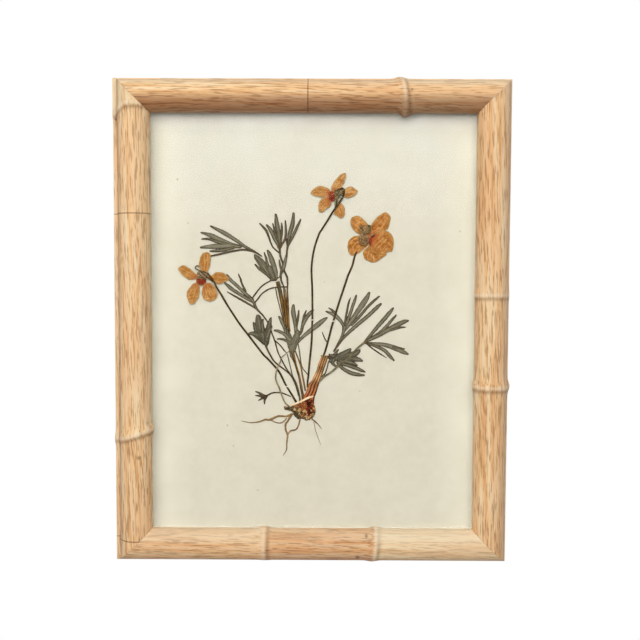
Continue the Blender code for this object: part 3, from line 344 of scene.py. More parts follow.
def carved_rail(name, turn, half_span, half_opening, ledge, rings, joints, first_tone, board, stains_and_painted_light,
                crease_side):
    """Sweep the section along a rail by rule, with its rings, mitres and the values the oak reads.

    Each ring is its place, lean, bend, outward and inward swell, rise, kept share and the tone after it.
    """
    section = rail_section(ledge)
    mesh = bpy.data.meshes.new(name)
    count = len(section)
    mesh.from_pydata([(across, height, 0) for across, height, spread, lift in section],
                     [(index, (index + 1) % count) for index in range(count)], [])
    # Painted shade, above 0, and painted light, below 0, at each point of the section
    shades = np.interp([row[0] for row in section], *zip(*stains_and_painted_light))
    for title, values in zip(("across", "height", "spread", "lift", "shade"), (*zip(*section), shades)):
        mesh.attributes.new(title, "FLOAT", "POINT").data.foreach_set("value",
                                                                      [float(value) for value in values])
    blank = bpy.data.objects.new(name, mesh)
    bpy.context.scene.collection.objects.link(blank)

    tree = bpy.data.node_groups.new(name, "GeometryNodeTree")
    tree.interface.new_socket("Geometry", in_out="INPUT", socket_type="NodeSocketGeometry")
    sizes = {"Half span": half_span, "Half opening": half_opening,
             "Rail width": ledge + OUTER_RUN + INNER_RUN,
             "Crest across": ledge + OUTER_RUN, "End reach": RAIL_WIDTH, "Mitre gap": MITRE_GAP,
             "Grain drift": GRAIN_DRIFT * (-1) ** board, "Crease side": crease_side, "First joint": joints[0],
             "Second joint": joints[1], "First tone": first_tone}
    for number, ring in enumerate(rings, 1):
        for part, value in zip(("place", "lean", "bend", "swell out", "swell in", "rise", "keep", "tone"),
                               ring):
            sizes[f"Ring {number} {part}"] = value
    for title in sizes:
        tree.interface.new_socket(title, in_out="INPUT", socket_type="NodeSocketFloat")
    tree.interface.new_socket("Geometry", in_out="OUTPUT", socket_type="NodeSocketGeometry")
    given = add(tree, "NodeGroupInput").outputs

    outline = add(tree, "GeometryNodeMeshToCurve", {"Mesh": given["Geometry"]})
    line = add(tree, "GeometryNodeCurvePrimitiveLine", {"Start": (-1, 0, 0), "End": (1, 0, 0)})
    stations = add(tree, "GeometryNodeResampleCurve", {"Curve": line, "Count": RAIL_STATIONS})
    share = add(tree, "GeometryNodeSplineParameter")
    both_ways = add(tree, "ShaderNodeMath", {0: share, 1: 2.0, 2: -1.0}, operation="MULTIPLY_ADD")
    marked = add(tree, "GeometryNodeStoreNamedAttribute",
                 {"Geometry": stations, "Name": "share", "Value": both_ways},
                 data_type="FLOAT", domain="POINT")
    swept = add(tree, "GeometryNodeCurveToMesh", {"Curve": marked, "Profile Curve": outline,
                                                  "Fill Caps": True})
    read = {title: add(tree, "GeometryNodeInputNamedAttribute", {"Name": title},
                       data_type="FLOAT").outputs[0]
            for title in ("share", "across", "height", "spread", "lift")}

    def between_mitres(across):
        """Each point's way in from the lip, and its place on a line that runs from mitre to mitre."""
        inwards = add(tree, "ShaderNodeMath", {0: given["Rail width"], 1: across}, operation="SUBTRACT")
        reach = add(tree, "ShaderNodeMath", {0: inwards, 1: given["End reach"]}, operation="MINIMUM")
        length = add(tree, "ShaderNodeMath", {0: given["Half span"], 1: reach}, operation="ADD")
        trimmed = add(tree, "ShaderNodeMath", {0: length, 1: given["Mitre gap"]}, operation="SUBTRACT")
        return inwards, add(tree, "ShaderNodeMath", {0: trimmed, 1: read["share"]}, operation="MULTIPLY")

    run = between_mitres(read["across"])[1]
    from_crest = add(tree, "ShaderNodeMath", {0: read["across"], 1: given["Crest across"]},
                     operation="SUBTRACT")
    across = read["across"]
    height = read["height"]
    tone = given["First tone"]
    nearest = 999.0
    for number in range(1, len(rings) + 1):
        parts = {title: given[f"Ring {number} {title.lower()}"]
                 for title in ("Place", "Lean", "Bend", "Swell out", "Swell in", "Rise", "Keep")}
        ring = add(tree, "GeometryNodeGroup", node_tree=ring_group)
        parts.update({"Run": run.outputs[0], "Across": from_crest.outputs[0], "Spread": read["spread"],
                      "Lift": read["lift"], "Side": given["Crease side"]})
        for title, socket in parts.items():
            tree.links.new(socket, ring.inputs[title])
        distance = ring.outputs["Distance"]
        across = add(tree, "ShaderNodeMath", {0: across, 1: ring.outputs["Shift"]}, operation="ADD")
        height = add(tree, "ShaderNodeMath", {0: height, 1: ring.outputs["Raise"]}, operation="ADD")
        passed = add(tree, "ShaderNodeMapRange", {"Value": distance, 1: -1.0, 2: 1.0})
        tone = add(tree, "ShaderNodeMix", {0: passed, 2: tone, 3: given[f"Ring {number} tone"]})
        nearest = nearer(tree, distance, nearest)

    # The ends stay on the mitres, also where the surface has swollen
    swollen, end = between_mitres(across)
    # Slow unevenness from hand work, 0.12 mm deep and about 30 mm long
    place = add(tree, "ShaderNodeCombineXYZ", {0: end, 1: across, 2: height})
    worked = add(tree, "ShaderNodeTexNoise", {"Vector": place, "W": float(board), "Scale": 0.045,
                                              "Detail": 2.0},
                 noise_dimensions="4D")
    uneven = add(tree, "ShaderNodeMath", {0: worked, 1: 0.5}, operation="SUBTRACT")
    uneven_lift = add(tree, "ShaderNodeMath", {0: uneven, 1: read["lift"]}, operation="MULTIPLY")
    final_height = add(tree, "ShaderNodeMath", {0: uneven_lift, 1: 0.7, 2: height}, operation="MULTIPLY_ADD")
    out = add(tree, "ShaderNodeMath", {0: given["Half opening"], 1: swollen}, operation="ADD")
    towards = add(tree, "ShaderNodeMath", {0: final_height, 1: -1.0}, operation="MULTIPLY")
    spot = add(tree, "ShaderNodeCombineXYZ", {0: end, 1: towards, 2: out})
    placed = add(tree, "GeometryNodeSetPosition", {"Geometry": swept, "Position": spot})

    from_joints = [add(tree, "ShaderNodeMath", {0: end, 1: given[title]}, operation="SUBTRACT")
                   for title in ("First joint", "Second joint")]
    joint = nearer(tree, *from_joints)
    # The grain's own space, in metres, moved so that no two rails are cut from the same stretch
    drifted = add(tree, "ShaderNodeMath", {0: end, 1: given["Grain drift"], 2: across},
                  operation="MULTIPLY_ADD")
    along = add(tree, "ShaderNodeCombineXYZ", {0: end, 1: drifted, 2: height})
    grain_spot = add(tree, "ShaderNodeVectorMath", {0: along, 1: (911.0 * board, 57.0 * board, 0)},
                     operation="ADD")
    grain_size = add(tree, "ShaderNodeVectorMath", {0: grain_spot, "Scale": MM}, operation="SCALE")
    beside_ring = add(tree, "ShaderNodeMath", {0: nearest, 1: given["Crease side"]}, operation="MULTIPLY")
    done = placed
    for title, value, kind in (("grain", grain_size, "FLOAT_VECTOR"), ("tone", tone, "FLOAT"),
                               ("ring", beside_ring, "FLOAT"), ("joint", joint, "FLOAT")):
        done = add(tree, "GeometryNodeStoreNamedAttribute",
                   {"Geometry": done, "Name": title, "Value": value},
                   data_type=kind, domain="POINT")
    turned = add(tree, "GeometryNodeTransform", {"Geometry": done, "Translation": CENTRE,
                                                 "Scale": (MM, MM, MM),
                                                 "Rotation": (0, math.radians(turn), 0)})
    real = add(tree, "GeometryNodeRealizeInstances", {"Geometry": turned})
    finished = add(tree, "GeometryNodeSetMaterial", {"Geometry": real, "Material": oak})
    add(tree, "NodeGroupOutput", {"Geometry": finished})
    return bake(blank, tree, sizes)


def bake(blank, tree, sizes):
    """Run a Geometry Nodes tree on an object and keep the result as its plain mesh."""
    modifier = blank.modifiers.new(tree.name, "NODES")
    modifier.node_group = tree
    sockets = {item.name: item.identifier for item in tree.interface.items_tree if item.in_out == "INPUT"}
    for title, value in sizes.items():
        modifier[sockets[title]] = value
    evaluated = blank.evaluated_get(bpy.context.evaluated_depsgraph_get())
    plain = bpy.data.meshes.new_from_object(evaluated, preserve_all_data_layers=True,
                                            depsgraph=bpy.context.evaluated_depsgraph_get())
    blank.modifiers.remove(modifier)
    blank.data = plain
    return blank


# Places along a rail count clockwise round the frame, so they run left on the bottom rail
# and down on the right one. The last list has painted shade, above 0, or painted light, below 0,
# at distances in mm from the rail's outer edge.
rails = [
    ("top", 0, HALF_WIDTH, HALF_HEIGHT, LEDGE, [(73.5, 0.18, 0, 1.7, 2.9, 1.6, 0, -0.1)], (-4.5, -4.5), 0.05,
     1,
     [(3, -0.35), (7, -0.15), (9, 0), (14, 0), (19, 0.5), (22, 0.65), (29, 0.7)]),
    ("right", 90, HALF_HEIGHT, HALF_WIDTH, LEDGE,
     [(-24, 0, 0, 0.4, 0.4, 0.4, 0, 0.1), (52, 0, 0, 1.7, 1.7, 1.5, 0, 0.1)], (400, 400), 0.1, 2,
     [(0, -0.35), (6, -0.2), (10, 0), (24, 0), (29, -0.1)]),
    ("bottom", 180, HALF_WIDTH, HALF_HEIGHT, LEDGE,
     [(-52, -0.1, 0, 1.0, 1.4, 1.4, 0, 0.36), (40, 0, 0, 0.4, 1.4, 1.2, 0, 0.15)], (400, 400), -0.2, 3,
     [(0, 0.3), (6, 0.1), (9, -0.05), (15, -0.1), (19, -0.25), (22, -0.5), (28, -0.65)]),
    ("left", -90, HALF_HEIGHT, HALF_WIDTH, LEFT_LEDGE,
     [(-92.5, 0.28, 0, 0.8, 1.7, 1.6, 0, 0.0), (177.7, 0, -0.035, 0.6, 0.8, 1.4, 0.5, -0.4)], (89.5, -180.8),
     0.1, 4,
     [(0, -0.3), (2.8, -0.25), (3.6, 0.3), (6.5, 0.25), (8, 0), (23, -0.05), (28, -0.1)]),
]
for side, turn, half_span, half_opening, ledge, rings, joints, first_tone, board, stains_and_painted_light in rails:
    # Each crease is on its ring's lower or right side
    crease_side = -1 if side in ("top", "right") else 1
    piece = carved_rail("oak_rail_" + side, turn, half_span, half_opening, ledge, rings, joints, first_tone,
                        board, stains_and_painted_light, crease_side)
    bm = bmesh.new()
    bm.from_mesh(piece.data)
    bmesh.ops.remove_doubles(bm, verts=bm.verts, dist=1e-6)
    bmesh.ops.recalc_face_normals(bm, faces=bm.faces)
    bm.to_mesh(piece.data)
    bm.free()
    piece.data.shade_smooth()
    piece.data.set_sharp_from_angle(angle=math.radians(38))
    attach(piece, "root")
    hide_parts("rail_" + side)


# Glass
# One pane of clear 2 mm glass, laid in the rebate behind the lips. Its coating lets it mirror
# almost nothing, since the picture shows no reflection in it.

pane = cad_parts["glass_pane"]
coated_glass, tree, shader = surface("clear_coated_glass", 0.0)
shader.inputs["Base Color"].default_value = (1, 1, 1, 1)
# An index of 1.12, not the 1.52 of plain glass, mirrors as little as the coated surface does
shader.inputs["IOR"].default_value = 1.12
shader.inputs["Transmission Weight"].default_value = 1.0
pane.material_slots[0].material = coated_glass
pane.visible_shadow = False


# Mount sheet
# Cream, uncoated rag paper, a little mottled, with a few small age spots. The plant is laid on it.

rag_paper, tree, shader = surface("cream_rag_paper", 0.92, 0.2)
place = add(tree, "ShaderNodeTexCoord").outputs["Object"]
spot = add(tree, "ShaderNodeSeparateXYZ", {0: place})
sideways = add(tree, "ShaderNodeMath", {0: spot.outputs["X"]}, operation="ABSOLUTE")
# Mottling in blotches 35 mm across and finer ones 10 mm across, and pulp fibres drawn at 1 mm
blotches = add(tree, "ShaderNodeTexNoise", {"Vector": place, "Scale": 28.0, "Detail": 2.0, "Roughness": 0.5})
mottle = add(tree, "ShaderNodeTexNoise", {"Vector": place, "Scale": 110.0, "Detail": 4.0, "Roughness": 0.6})
pulp = add(tree, "ShaderNodeTexNoise", {"Vector": place, "Scale": 1400.0, "Detail": 3.0})
age_spots = specks(tree, ((-112.5, 118.5, 0.9, 0.8), (-104, 82.5, 0.8, 0.8), (121.5, 76.5, 0.8, 0.8),
                          (9.5, 34, 0.6, 0.8), (39.5, -57, 0.7, 0.8), (-71.5, -86.5, 0.9, 0.8),
                          (-66.5, -104, 0.7, 0.8), (-46, -141.5, 0.8, 0.8)), 0.2, 1.5)
sheet_colour = coats(tree, linear("C4C3B6"), (
    # The sheet is a little darker below its top part, and painted paler beside the side rails, painted light
    # that lifts their shade
    ("C0BBA9", spot.outputs["Z"], CENTRE.z + 0.16, CENTRE.z + 0.06, 0.0, 1.0),
    ("D0CCB9", sideways, 0.1, 0.128, 0.0, 1.0),
    # Painted light: the sheet is painted palest where the top rail's shadow falls, lifting that shadow
    ("EAE7DC", spot.outputs["Z"], CENTRE.z + 0.158, CENTRE.z + 0.17, 0.0, 1.0),
    ("B9B39F", blotches, 0.35, 0.65, 0.0, 0.35),
    ("CFCABA", mottle, 0.35, 0.7, 0.0, 0.3),
    ("9C8F72", age_spots, 0.0, 1.0, 0.0, 1.0)))
dress(tree, shader, sheet_colour, pulp, 0.25, 0.0001)
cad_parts["mount_paper"].material_slots[0].material = rag_paper


# Leaves
# Divided leaves with narrow lobes, picked green and dried flat, now grey-olive with darker edges.
# Each is one thin blade with its stalk, held down by the glass and by the pieces that cross it.

CELL = 0.28
SHEET_FACE = 5.55
# The solids' layers start 5.8 mm off the wall, and are pressed together here to lie on the sheet
LOWEST_LAYER = 5.8
PRESSED_SHARE = 0.4
LEAF_SHIFT = (-0.75, 0.85)


def leaf_green(name, body, pale, edge_colour):
    """A dry leaf: matt, grey-olive, paler along its midribs and darker round its rim."""
    material, tree, shader = surface(name, 0.82, 0.15)
    place = add(tree, "ShaderNodeTexCoord").outputs["Object"]
    rim, rib, own, thin = (add(tree, "ShaderNodeAttribute", attribute_name=title).outputs["Fac"]
                           for title in ("rim", "rib", "own", "thin"))
    # Blotches 4 mm across, and dry cell texture drawn at 0.7 mm
    blotch = add(tree, "ShaderNodeTexNoise", {"Vector": place, "Scale": 250.0, "Detail": 3.0,
                                              "Roughness": 0.6})
    cells = add(tree, "ShaderNodeTexNoise", {"Vector": place, "Scale": 1400.0, "Detail": 2.0})
    mixed = add(tree, "ShaderNodeMath", {0: blotch, 1: own}, operation="ADD")
    blade = coats(tree, linear(body), (
        (pale, mixed, 0.35, 0.85, 0.0, 1.0),
        (edge_colour, cells, 0.35, 0.65, 0.35, 0.0),
        ("948D74", rib, 0.1, 0.5, 0.4, 0.0),
        (edge_colour, rim, 0.1, 0.75, 0.95, 0.0),
        # Bare stalks have dried browner and darker than the blades
        ("43321C", thin, 0.0, 1.0, 0.0, 1.0)))
    dress(tree, shader, blade, cells, 0.5, 0.0002)
    return material


def smooth(points, steps, closed=False):
    """Points along a smooth curve through the given ones, with their widths where they have one."""
    rows = np.array(points, float)
    count = len(rows)
    spans = count if closed else count - 1
    found = []
    for span in range(spans):
        picks = [(span + k) % count if closed else min(max(span + k, 0), count - 1) for k in (-1, 0, 1, 2)]
        a, b, c, d = rows[picks]
        for step in range(steps):
            t = step / steps
            found.append(0.5 * (2 * b + (c - a) * t + (2 * a - 5 * b + 4 * c - d) * t * t
                                + (3 * b - a - 3 * c + d) * t ** 3))
    if not closed:
        found.append(rows[-1])
    return np.array(found)


def sheet_grid(points, margin=1.2, cell=CELL):
    """A square lattice in mm that covers the given points."""
    low = points[:, :2].min(0) - margin
    high = points[:, :2].max(0) + margin
    return np.meshgrid(np.arange(low[0], high[0], cell), np.arange(low[1], high[1], cell), indexing="ij")


def strip_field(x, z, line):
    """Distance in mm from a tapering strip's edge, negative inside, and from its middle line."""
    edge = np.full(x.shape, 1e3)
    middle = edge.copy()
    for (ax, az, aw), (bx, bz, bw) in zip(line, line[1:]):
        dx, dz = bx - ax, bz - az
        share = np.clip(((x - ax) * dx + (z - az) * dz) / max(dx * dx + dz * dz, 1e-9), 0, 1)
        off = np.hypot(x - ax - share * dx, z - az - share * dz)
        here = off - np.maximum(aw + (bw - aw) * share, 0.25) / 2
        middle = np.where(here < edge, off, middle)
        edge = np.minimum(edge, here)
    return edge, middle


def pressed(name, x, z, edge, bottom, top, values, material):
    """A thin closed sheet where edge is negative: bottom and top are heights in mm off the wall."""
    inside = edge < 0
    spots = []
    ids = {}

    def corner(i, j):
        if (i, j) not in ids:
            ids[i, j] = len(spots)
            row = [x[i, j], z[i, j], bottom[i, j], top[i, j], *(value[i, j] for value in values.values())]
            spots.append((row, False))
        return ids[i, j]

    def crossing(i, j, k, l):
        near, far = sorted(((i, j), (k, l)))
        if (near, far) not in ids:
            ids[near, far] = len(spots)
            share = edge[near] / (edge[near] - edge[far])
            ends = [[x[at], z[at], bottom[at], bottom[at], *(value[at] for value in values.values())]
                    for at in (near, far)]
            spots.append(([a + (b - a) * share for a, b in zip(*ends)], True))
        return ids[near, far]

    polygons = []
    cells = inside[:-1, :-1] | inside[1:, :-1] | inside[:-1, 1:] | inside[1:, 1:]
    for i, j in np.argwhere(cells):
        corners = ((i, j), (i + 1, j), (i + 1, j + 1), (i, j + 1))
        face = []
        for a, b in zip(corners, corners[1:] + corners[:1]):
            if inside[a]:
                face.append(corner(*a))
            if inside[a] != inside[b]:
                face.append(crossing(*a, *b))
        polygons.append(face)

    fronts = [(row[0], -row[3], row[1]) for row, on_edge in spots]
    under = {}
    backs = []
    for number, (row, on_edge) in enumerate(spots):
        under[number] = number if on_edge else len(spots) + len(backs)
        if not on_edge:
            backs.append((row[0], -row[2], row[1]))
    owners = list(range(len(spots))) + [number for number, spot in enumerate(spots) if not spot[1]]
    vertices = np.array(fronts + backs) * MM + np.array(CENTRE)
    faces = polygons + [[under[index] for index in reversed(face)] for face in polygons]
    mesh = bpy.data.meshes.new(name)
    mesh.from_pydata(vertices.tolist(), [], faces)
    for column, title in enumerate(values, 4):
        attribute = mesh.attributes.new(title, "FLOAT", "POINT")
        attribute.data.foreach_set("value", [float(spots[owner][0][column]) for owner in owners])
    mesh.shade_smooth()
    mesh.materials.append(material)
    piece = bpy.data.objects.new(name, mesh)
    bpy.context.scene.collection.objects.link(piece)
    return piece


def waves(x, z, size, seed):
    """Soft random relief between about -1 and 1, with features of the given size in mm."""
    chance = np.random.default_rng(seed)
    total = np.zeros(x.shape)
    for wave in range(7):
        heading, phase = chance.uniform(0, 2 * math.pi, 2)
        length = size * chance.uniform(0.7, 1.6)
        total += np.sin((x * math.cos(heading) + z * math.sin(heading)) * 2 * math.pi / length + phase)
    return total / 4


def rest_height(node):
    """Height in mm off the wall of a pressed piece's underside: it lies flat on what is below it."""
    back = -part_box(node)[1][1] / MM
    return SHEET_FACE + (back - LOWEST_LAYER) * PRESSED_SHARE


def blunt(route, slim):
    """The same lobe, a little slimmer, with its tip rounded off."""
    lobe = np.array(route, float)
    if lobe[0, 2] < 0.9:
        way = lobe[1, :2] - lobe[0, :2]
        lobe[0, :2] += way / np.hypot(*way) * 0.3 * lobe[1, 2]
        lobe[0, 2] = 0.5 * lobe[1, 2]
    lobe[:, 2] = np.where(lobe[:, 2] > 1.6, lobe[:, 2] * slim, lobe[:, 2])
    return lobe


dry_leaf = leaf_green("dry_leaf", "5C5743", "7C7662", "2E281A")
dark_leaf = leaf_green("dark_dry_leaf", "4A4535", "686250", "282214")
# Lobes, each a route of x, z and width in mm from the picture's centre, from its tip inwards
leaves = {
    "leaf_upper_left": (dry_leaf, [
        [(-85, 79.5, 0.5), (-79, 76.6, 2.8), (-72, 73, 3.8), (-61.5, 66.5, 3), (-56, 62.5, 2.6),
         (-48.5, 58.5, 2), (-42, 54.5, 1)],
        [(-93, 74, 0.5), (-88, 72.8, 2.8), (-83, 71, 4.2), (-77, 68, 4.4), (-67, 63.8, 4),
         (-59.5, 62.5, 2.6)],
        [(-92.5, 68.5, 0.4), (-86, 68.5, 2), (-78, 66, 3), (-70, 64, 3)],
        [(-93.5, 61.5, 0.5), (-88, 62, 3), (-82, 62.5, 4.2), (-74.5, 62.7, 4.4), (-66, 62.8, 3.6),
         (-60, 62, 2)],
        [(-85.5, 58.5, 0.5), (-80, 58.8, 2.4), (-73, 59.6, 2.8), (-65, 61.6, 2.4)],
        [(-88, 53.5, 0.5), (-80, 55.4, 1.6), (-74.5, 56.6, 1.6), (-65, 58.8, 1.5), (-56, 59.8, 1.4),
         (-47.5, 58, 1.4)]]),
    "leaf_top": (dry_leaf, [
        [(-44, 82, 0.5), (-38.5, 76, 2.2), (-36.3, 71, 1.6), (-33, 62.5, 1.1), (-27.5, 57.5, 1.3)],
        [(-38.5, 81, 0.6), (-34.5, 76, 3.3), (-31.6, 70, 3.4), (-29, 64.5, 2.6), (-27, 60, 1.6)],
        [(-33, 82, 0.5), (-31.5, 76.5, 1.8), (-30, 70, 2)],
        [(-30.5, 90, 0.6), (-29.5, 81.5, 4), (-27.9, 73.5, 3.6), (-27.2, 66, 2.6), (-27, 60, 1.8),
         (-26.3, 54, 1.6), (-24.4, 48, 1.5), (-24.6, 42, 1.4)],
        [(-25.5, 82.5, 0.5), (-25.3, 76, 2), (-26, 68, 1.8), (-27, 62, 1.4)],
        [(-22.5, 84.5, 0.5), (-22, 77, 2), (-22.3, 70, 2.2), (-25, 64.5, 1.6), (-26.8, 60.5, 1.4)],
        [(-22.4, 71, 1.4), (-21.3, 67, 1.4), (-20.6, 63, 1.4)],
        [(-15.5, 91, 0.6), (-16.5, 81, 3.8), (-18.8, 73, 3.4), (-20, 65.5, 2.2), (-21, 59, 1.5),
         (-21.4, 54, 1.6)],
        [(-9.5, 85.5, 0.5), (-12.5, 79, 2.5), (-16.4, 70.5, 2.4), (-19.8, 64, 1.8)],
        [(-21, 57.5, 1), (-22.5, 50.5, 3), (-24, 44.5, 3), (-26.2, 39.5, 2), (-25.6, 34, 1.4),
         (-24, 30, 1)],
        [(-27.5, 52, 0.5), (-26.7, 47, 2), (-25.2, 42, 2)],
        [(-23.7, 43, 1.8), (-21, 37.5, 1.6), (-20.5, 33, 1.4), (-20.5, 27.5, 1)]]),
    "leaf_upper_middle": (dry_leaf, [
        [(-48.5, 56, 0.6), (-45.5, 52.6, 4.8), (-42, 48.5, 6.3), (-37.5, 41.5, 5), (-33.5, 35.5, 3),
         (-30.8, 35, 2)],
        [(-48, 48, 0.5), (-44.5, 44.6, 2.5), (-40, 41.2, 2.6), (-35, 37, 2.2)],
        [(-40, 58, 0.5), (-38.5, 53, 2), (-36.8, 46.5, 2.4)],
        [(-37.5, 60, 0.6), (-35.5, 56, 3.6), (-33.5, 51, 4.6), (-31, 43.5, 4), (-29.6, 37.5, 3),
         (-30.4, 34.6, 1.6)],
        [(-35.5, 45, 4), (-33.5, 39.5, 5), (-31.6, 36, 2.6)]]),
    "leaf_narrow_left": (dry_leaf, [
        [(-71.5, 39.5, 0.5), (-68.5, 35.3, 3), (-62.5, 29.8, 3), (-56, 23.8, 3), (-49.5, 18.5, 2.4)],
        [(-73.5, 33, 0.5), (-70, 29.8, 3), (-66, 26.5, 3.3), (-56, 20.2, 3), (-48.5, 16, 2.4)],
        [(-71, 25, 0.4), (-65, 21.5, 1.5), (-56, 16.5, 1.8), (-46.5, 11, 1.8)],
        [(-61.5, 40, 0.5), (-59.8, 36, 1.6), (-58.4, 31.5, 1.7), (-55.4, 25.4, 1.8)],
        [(-52, 20.6, 2.4), (-48.4, 15.4, 2.6), (-46, 10.5, 2), (-41.5, 5.8, 1.4), (-36.8, -0.8, 1.2),
         (-33.6, -9.1, 1.2), (-31, -16.1, 1.2), (-28.4, -25.3, 1.1), (-25.3, -31.8, 1.1),
         (-21.8, -38.4, 1.1), (-17.9, -44.1, 1)],
        [(-31, -15.5, 1), (-26.6, -19.6, 1), (-23.6, -23.5, 1), (-21.4, -26, 0.9)],
        [(-27.8, 37, 0.9), (-30.6, 35.2, 1.1), (-34.1, 34.4, 1.1), (-37.8, 32.4, 1.1), (-41.9, 29.6, 1.1),
         (-45.5, 25.4, 1.1), (-49.8, 19.8, 1.2)],
        [(-20.6, 29.1, 1), (-26.2, 29, 1.1), (-30.6, 28.6, 1.1), (-35.8, 27.3, 1.1), (-41.9, 23.2, 1.1),
         (-45.5, 18.6, 1.2), (-48, 16, 1.2)]]),
    "leaf_centre_left": (dry_leaf, [
        [(-28, 5, 0.6), (-25.6, 1, 3.2), (-22.5, -5.5, 3.6), (-19, -13, 5), (-17.5, -19, 6.5),
         (-17.5, -24.5, 2.6)],
        [(-32.3, -7, 0.5), (-28.5, -7.7, 2.7), (-23.5, -10, 3), (-18.5, -15, 4)],
        [(-29.5, -14.5, 0.5), (-25.5, -14.3, 1.8), (-21, -16, 2.4), (-18, -18.5, 3)]]),
    "leaf_centre": (dry_leaf, [
        [(-15.5, 15, 0.6), (-15.7, 8.5, 4.2), (-14.5, 1.5, 3.8), (-13.5, -5.5, 3.2), (-13.3, -12, 2.4)],
        [(-11, 10, 0.5), (-11.6, 4, 2), (-12.8, -3, 2)],
        [(-4.5, 10, 0.5), (-6.4, 6, 1.8), (-7.8, -0.5, 2), (-8.2, -6, 2)],
        [(1.5, 10.5, 0.6), (-1.6, 7.4, 3.2), (-4.6, 3.6, 3.6), (-7.8, -3, 3), (-9.2, -9, 2.2),
         (-12.4, -13, 1.8)],
        [(13, 4, 0.6), (9.4, 1.4, 3.4), (5, -2, 4.6), (-1.6, -7.4, 3.8), (-7, -12, 3), (-11, -16, 2.6),
         (-15, -21.5, 1.2)],
        [(-12, -8.5, 4), (-13.4, -14, 6.4), (-15.2, -19, 6.4), (-16.6, -24.5, 5.2), (-17.2, -28.4, 3)]]),
    "leaf_upper_right": (dry_leaf, [
        [(32, 20.5, 0.5), (30.2, 15, 1.8), (28.2, 4, 2), (27.4, -2, 2)],
        [(37, 23, 0.5), (35.2, 17.4, 2.7), (32.4, 9, 2.8), (29, -1, 2.8)],
        [(48, 25.5, 0.6), (45.6, 20.4, 4), (42.5, 15.5, 5), (37, 7.4, 4.2), (31.5, -1, 3.6),
         (27.4, -6.6, 2.6)],
        [(56.5, 22, 0.5), (52, 18.3, 2.3), (46, 12.4, 2.4), (38.5, 3.4, 2.6), (33, -2, 2.6)],
        [(58, 16, 0.5), (54, 12.4, 3.3), (47, 5.6, 3.4), (38, -2, 3.4), (30, -9.3, 2.8),
         (25, -15, 2), (18.4, -24.6, 1.2)],
        [(11, 9, 0.5), (15, 7.6, 2.4), (19, 5.6, 3.8), (23.5, 1.4, 3.2), (26, -3, 2.6),
         (26.2, -8, 2.2)],
        [(13.5, 12, 0.5), (16.6, 10, 1.8), (19.6, 7, 2.6)],
        [(27.4, -4, 3), (25.4, -11, 2.4), (23, -16, 2), (18.4, -24.4, 1.4)]]),
    "leaf_far_right": (dry_leaf, [
        [(68, 12.5, 0.6), (65.4, 9, 3), (61, 3.6, 3.8), (54.5, -4, 3.4), (45, -15.5, 2.4)],
        [(70.5, 6.5, 0.5), (66.4, 1.8, 2.5), (61.6, -4, 2.8), (54.5, -10.5, 3), (48, -14, 2.4)],
        [(81, 1.5, 0.6), (77, 0.6, 3.6), (72, -1.8, 4.6), (64, -6, 4.2), (54.5, -11.5, 3.6),
         (45, -16, 2.6)],
        [(78.5, -4, 0.5), (73.4, -4.4, 1.8), (66, -6.4, 2.4)],
        [(81, -27, 0.6), (76.6, -25, 3.6), (71, -22.2, 4.6), (60, -18.8, 3.6), (48, -17.8, 2.4),
         (44, -17, 2)],
        [(78, -22.4, 0.4), (73.6, -21.6, 1.6), (68, -20.6, 2.4)],
        [(69, -32.5, 0.6), (65.4, -28.6, 3), (60.6, -23.6, 3.3), (54, -20.4, 2.6), (47, -18, 2)],
        [(62.5, -30, 0.4), (55.5, -25.4, 1.1), (50, -21.6, 1.2), (45.5, -17.6, 1.4)],
        [(46, -14.6, 2.4), (43.7, -17, 1.8), (37.6, -22.1, 1.4), (30.5, -30.2, 1.3), (22.4, -36.3, 1.3),
         (16.5, -41.5, 1.3), (9.6, -46.3, 1.2), (5.2, -51.1, 1)]]),
    "leaf_low_right": (dark_leaf, [
        [(22.5, -22.5, 0.5), (20.4, -25.4, 2.2), (18, -29.6, 3.4), (15.2, -32.8, 2.6)],
        [(14.5, -28, 1.4), (18, -28.6, 3.4), (23, -30, 5), (28, -31.6, 6)],
        [(33, -22, 0.8), (30, -24.4, 3.6), (25.6, -27.4, 5), (19.6, -30.6, 4)],
        [(39.4, -24, 2.4), (36.2, -26.4, 4.6), (31, -28.4, 5.6), (24, -31, 5)],
        [(42.8, -32.6, 0.8), (38.4, -31.2, 3.6), (32, -30.8, 5), (25, -32.4, 5)],
        [(38.5, -36.5, 0.6), (34.6, -34.6, 2.6), (29.6, -33.2, 3.4), (24, -33, 3.6)],
        [(45, -42, 0.5), (40.6, -40, 2.6), (35.4, -38, 3), (28.6, -35.8, 2.8), (22, -34, 3)],
        [(44.5, -44.5, 0.5), (39.4, -44, 2.6), (33.4, -42.8, 3.3), (27, -39.6, 2.8), (22.4, -36, 2.4)],
        [(7.2, -28, 0.5), (9.6, -29, 1.2), (13, -29.6, 1.8), (16, -30, 2.4)],
        [(14.6, -26.8, 0.9), (14.6, -29.5, 1.6)],
        [(18.4, -31, 3), (17.4, -34.6, 2.6), (20.5, -37.3, 1.6)]]),
    "leaf_basal_small": (dark_leaf, [
        [(-47.5, -58.5, 0.4), (-43.6, -60, 1.8), (-39, -62.6, 1.8)],
        [(-47.5, -62, 0.4), (-43.8, -62.2, 1.7), (-39, -63, 1.8)],
        [(-45, -66.5, 0.4), (-42.4, -64.8, 1.6), (-38.8, -63, 1.7)],
        [(-39.5, -69.5, 0.4), (-39.6, -66.4, 1.6), (-38, -62.6, 1.7)],
        [(-40.4, -63.2, 1.4), (-37.5, -62, 1.3), (-33.2, -59.8, 1.2), (-27.5, -59.4, 1.1),
         (-22.7, -60.5, 1.1), (-17.9, -62.7, 0.9)]]),
}
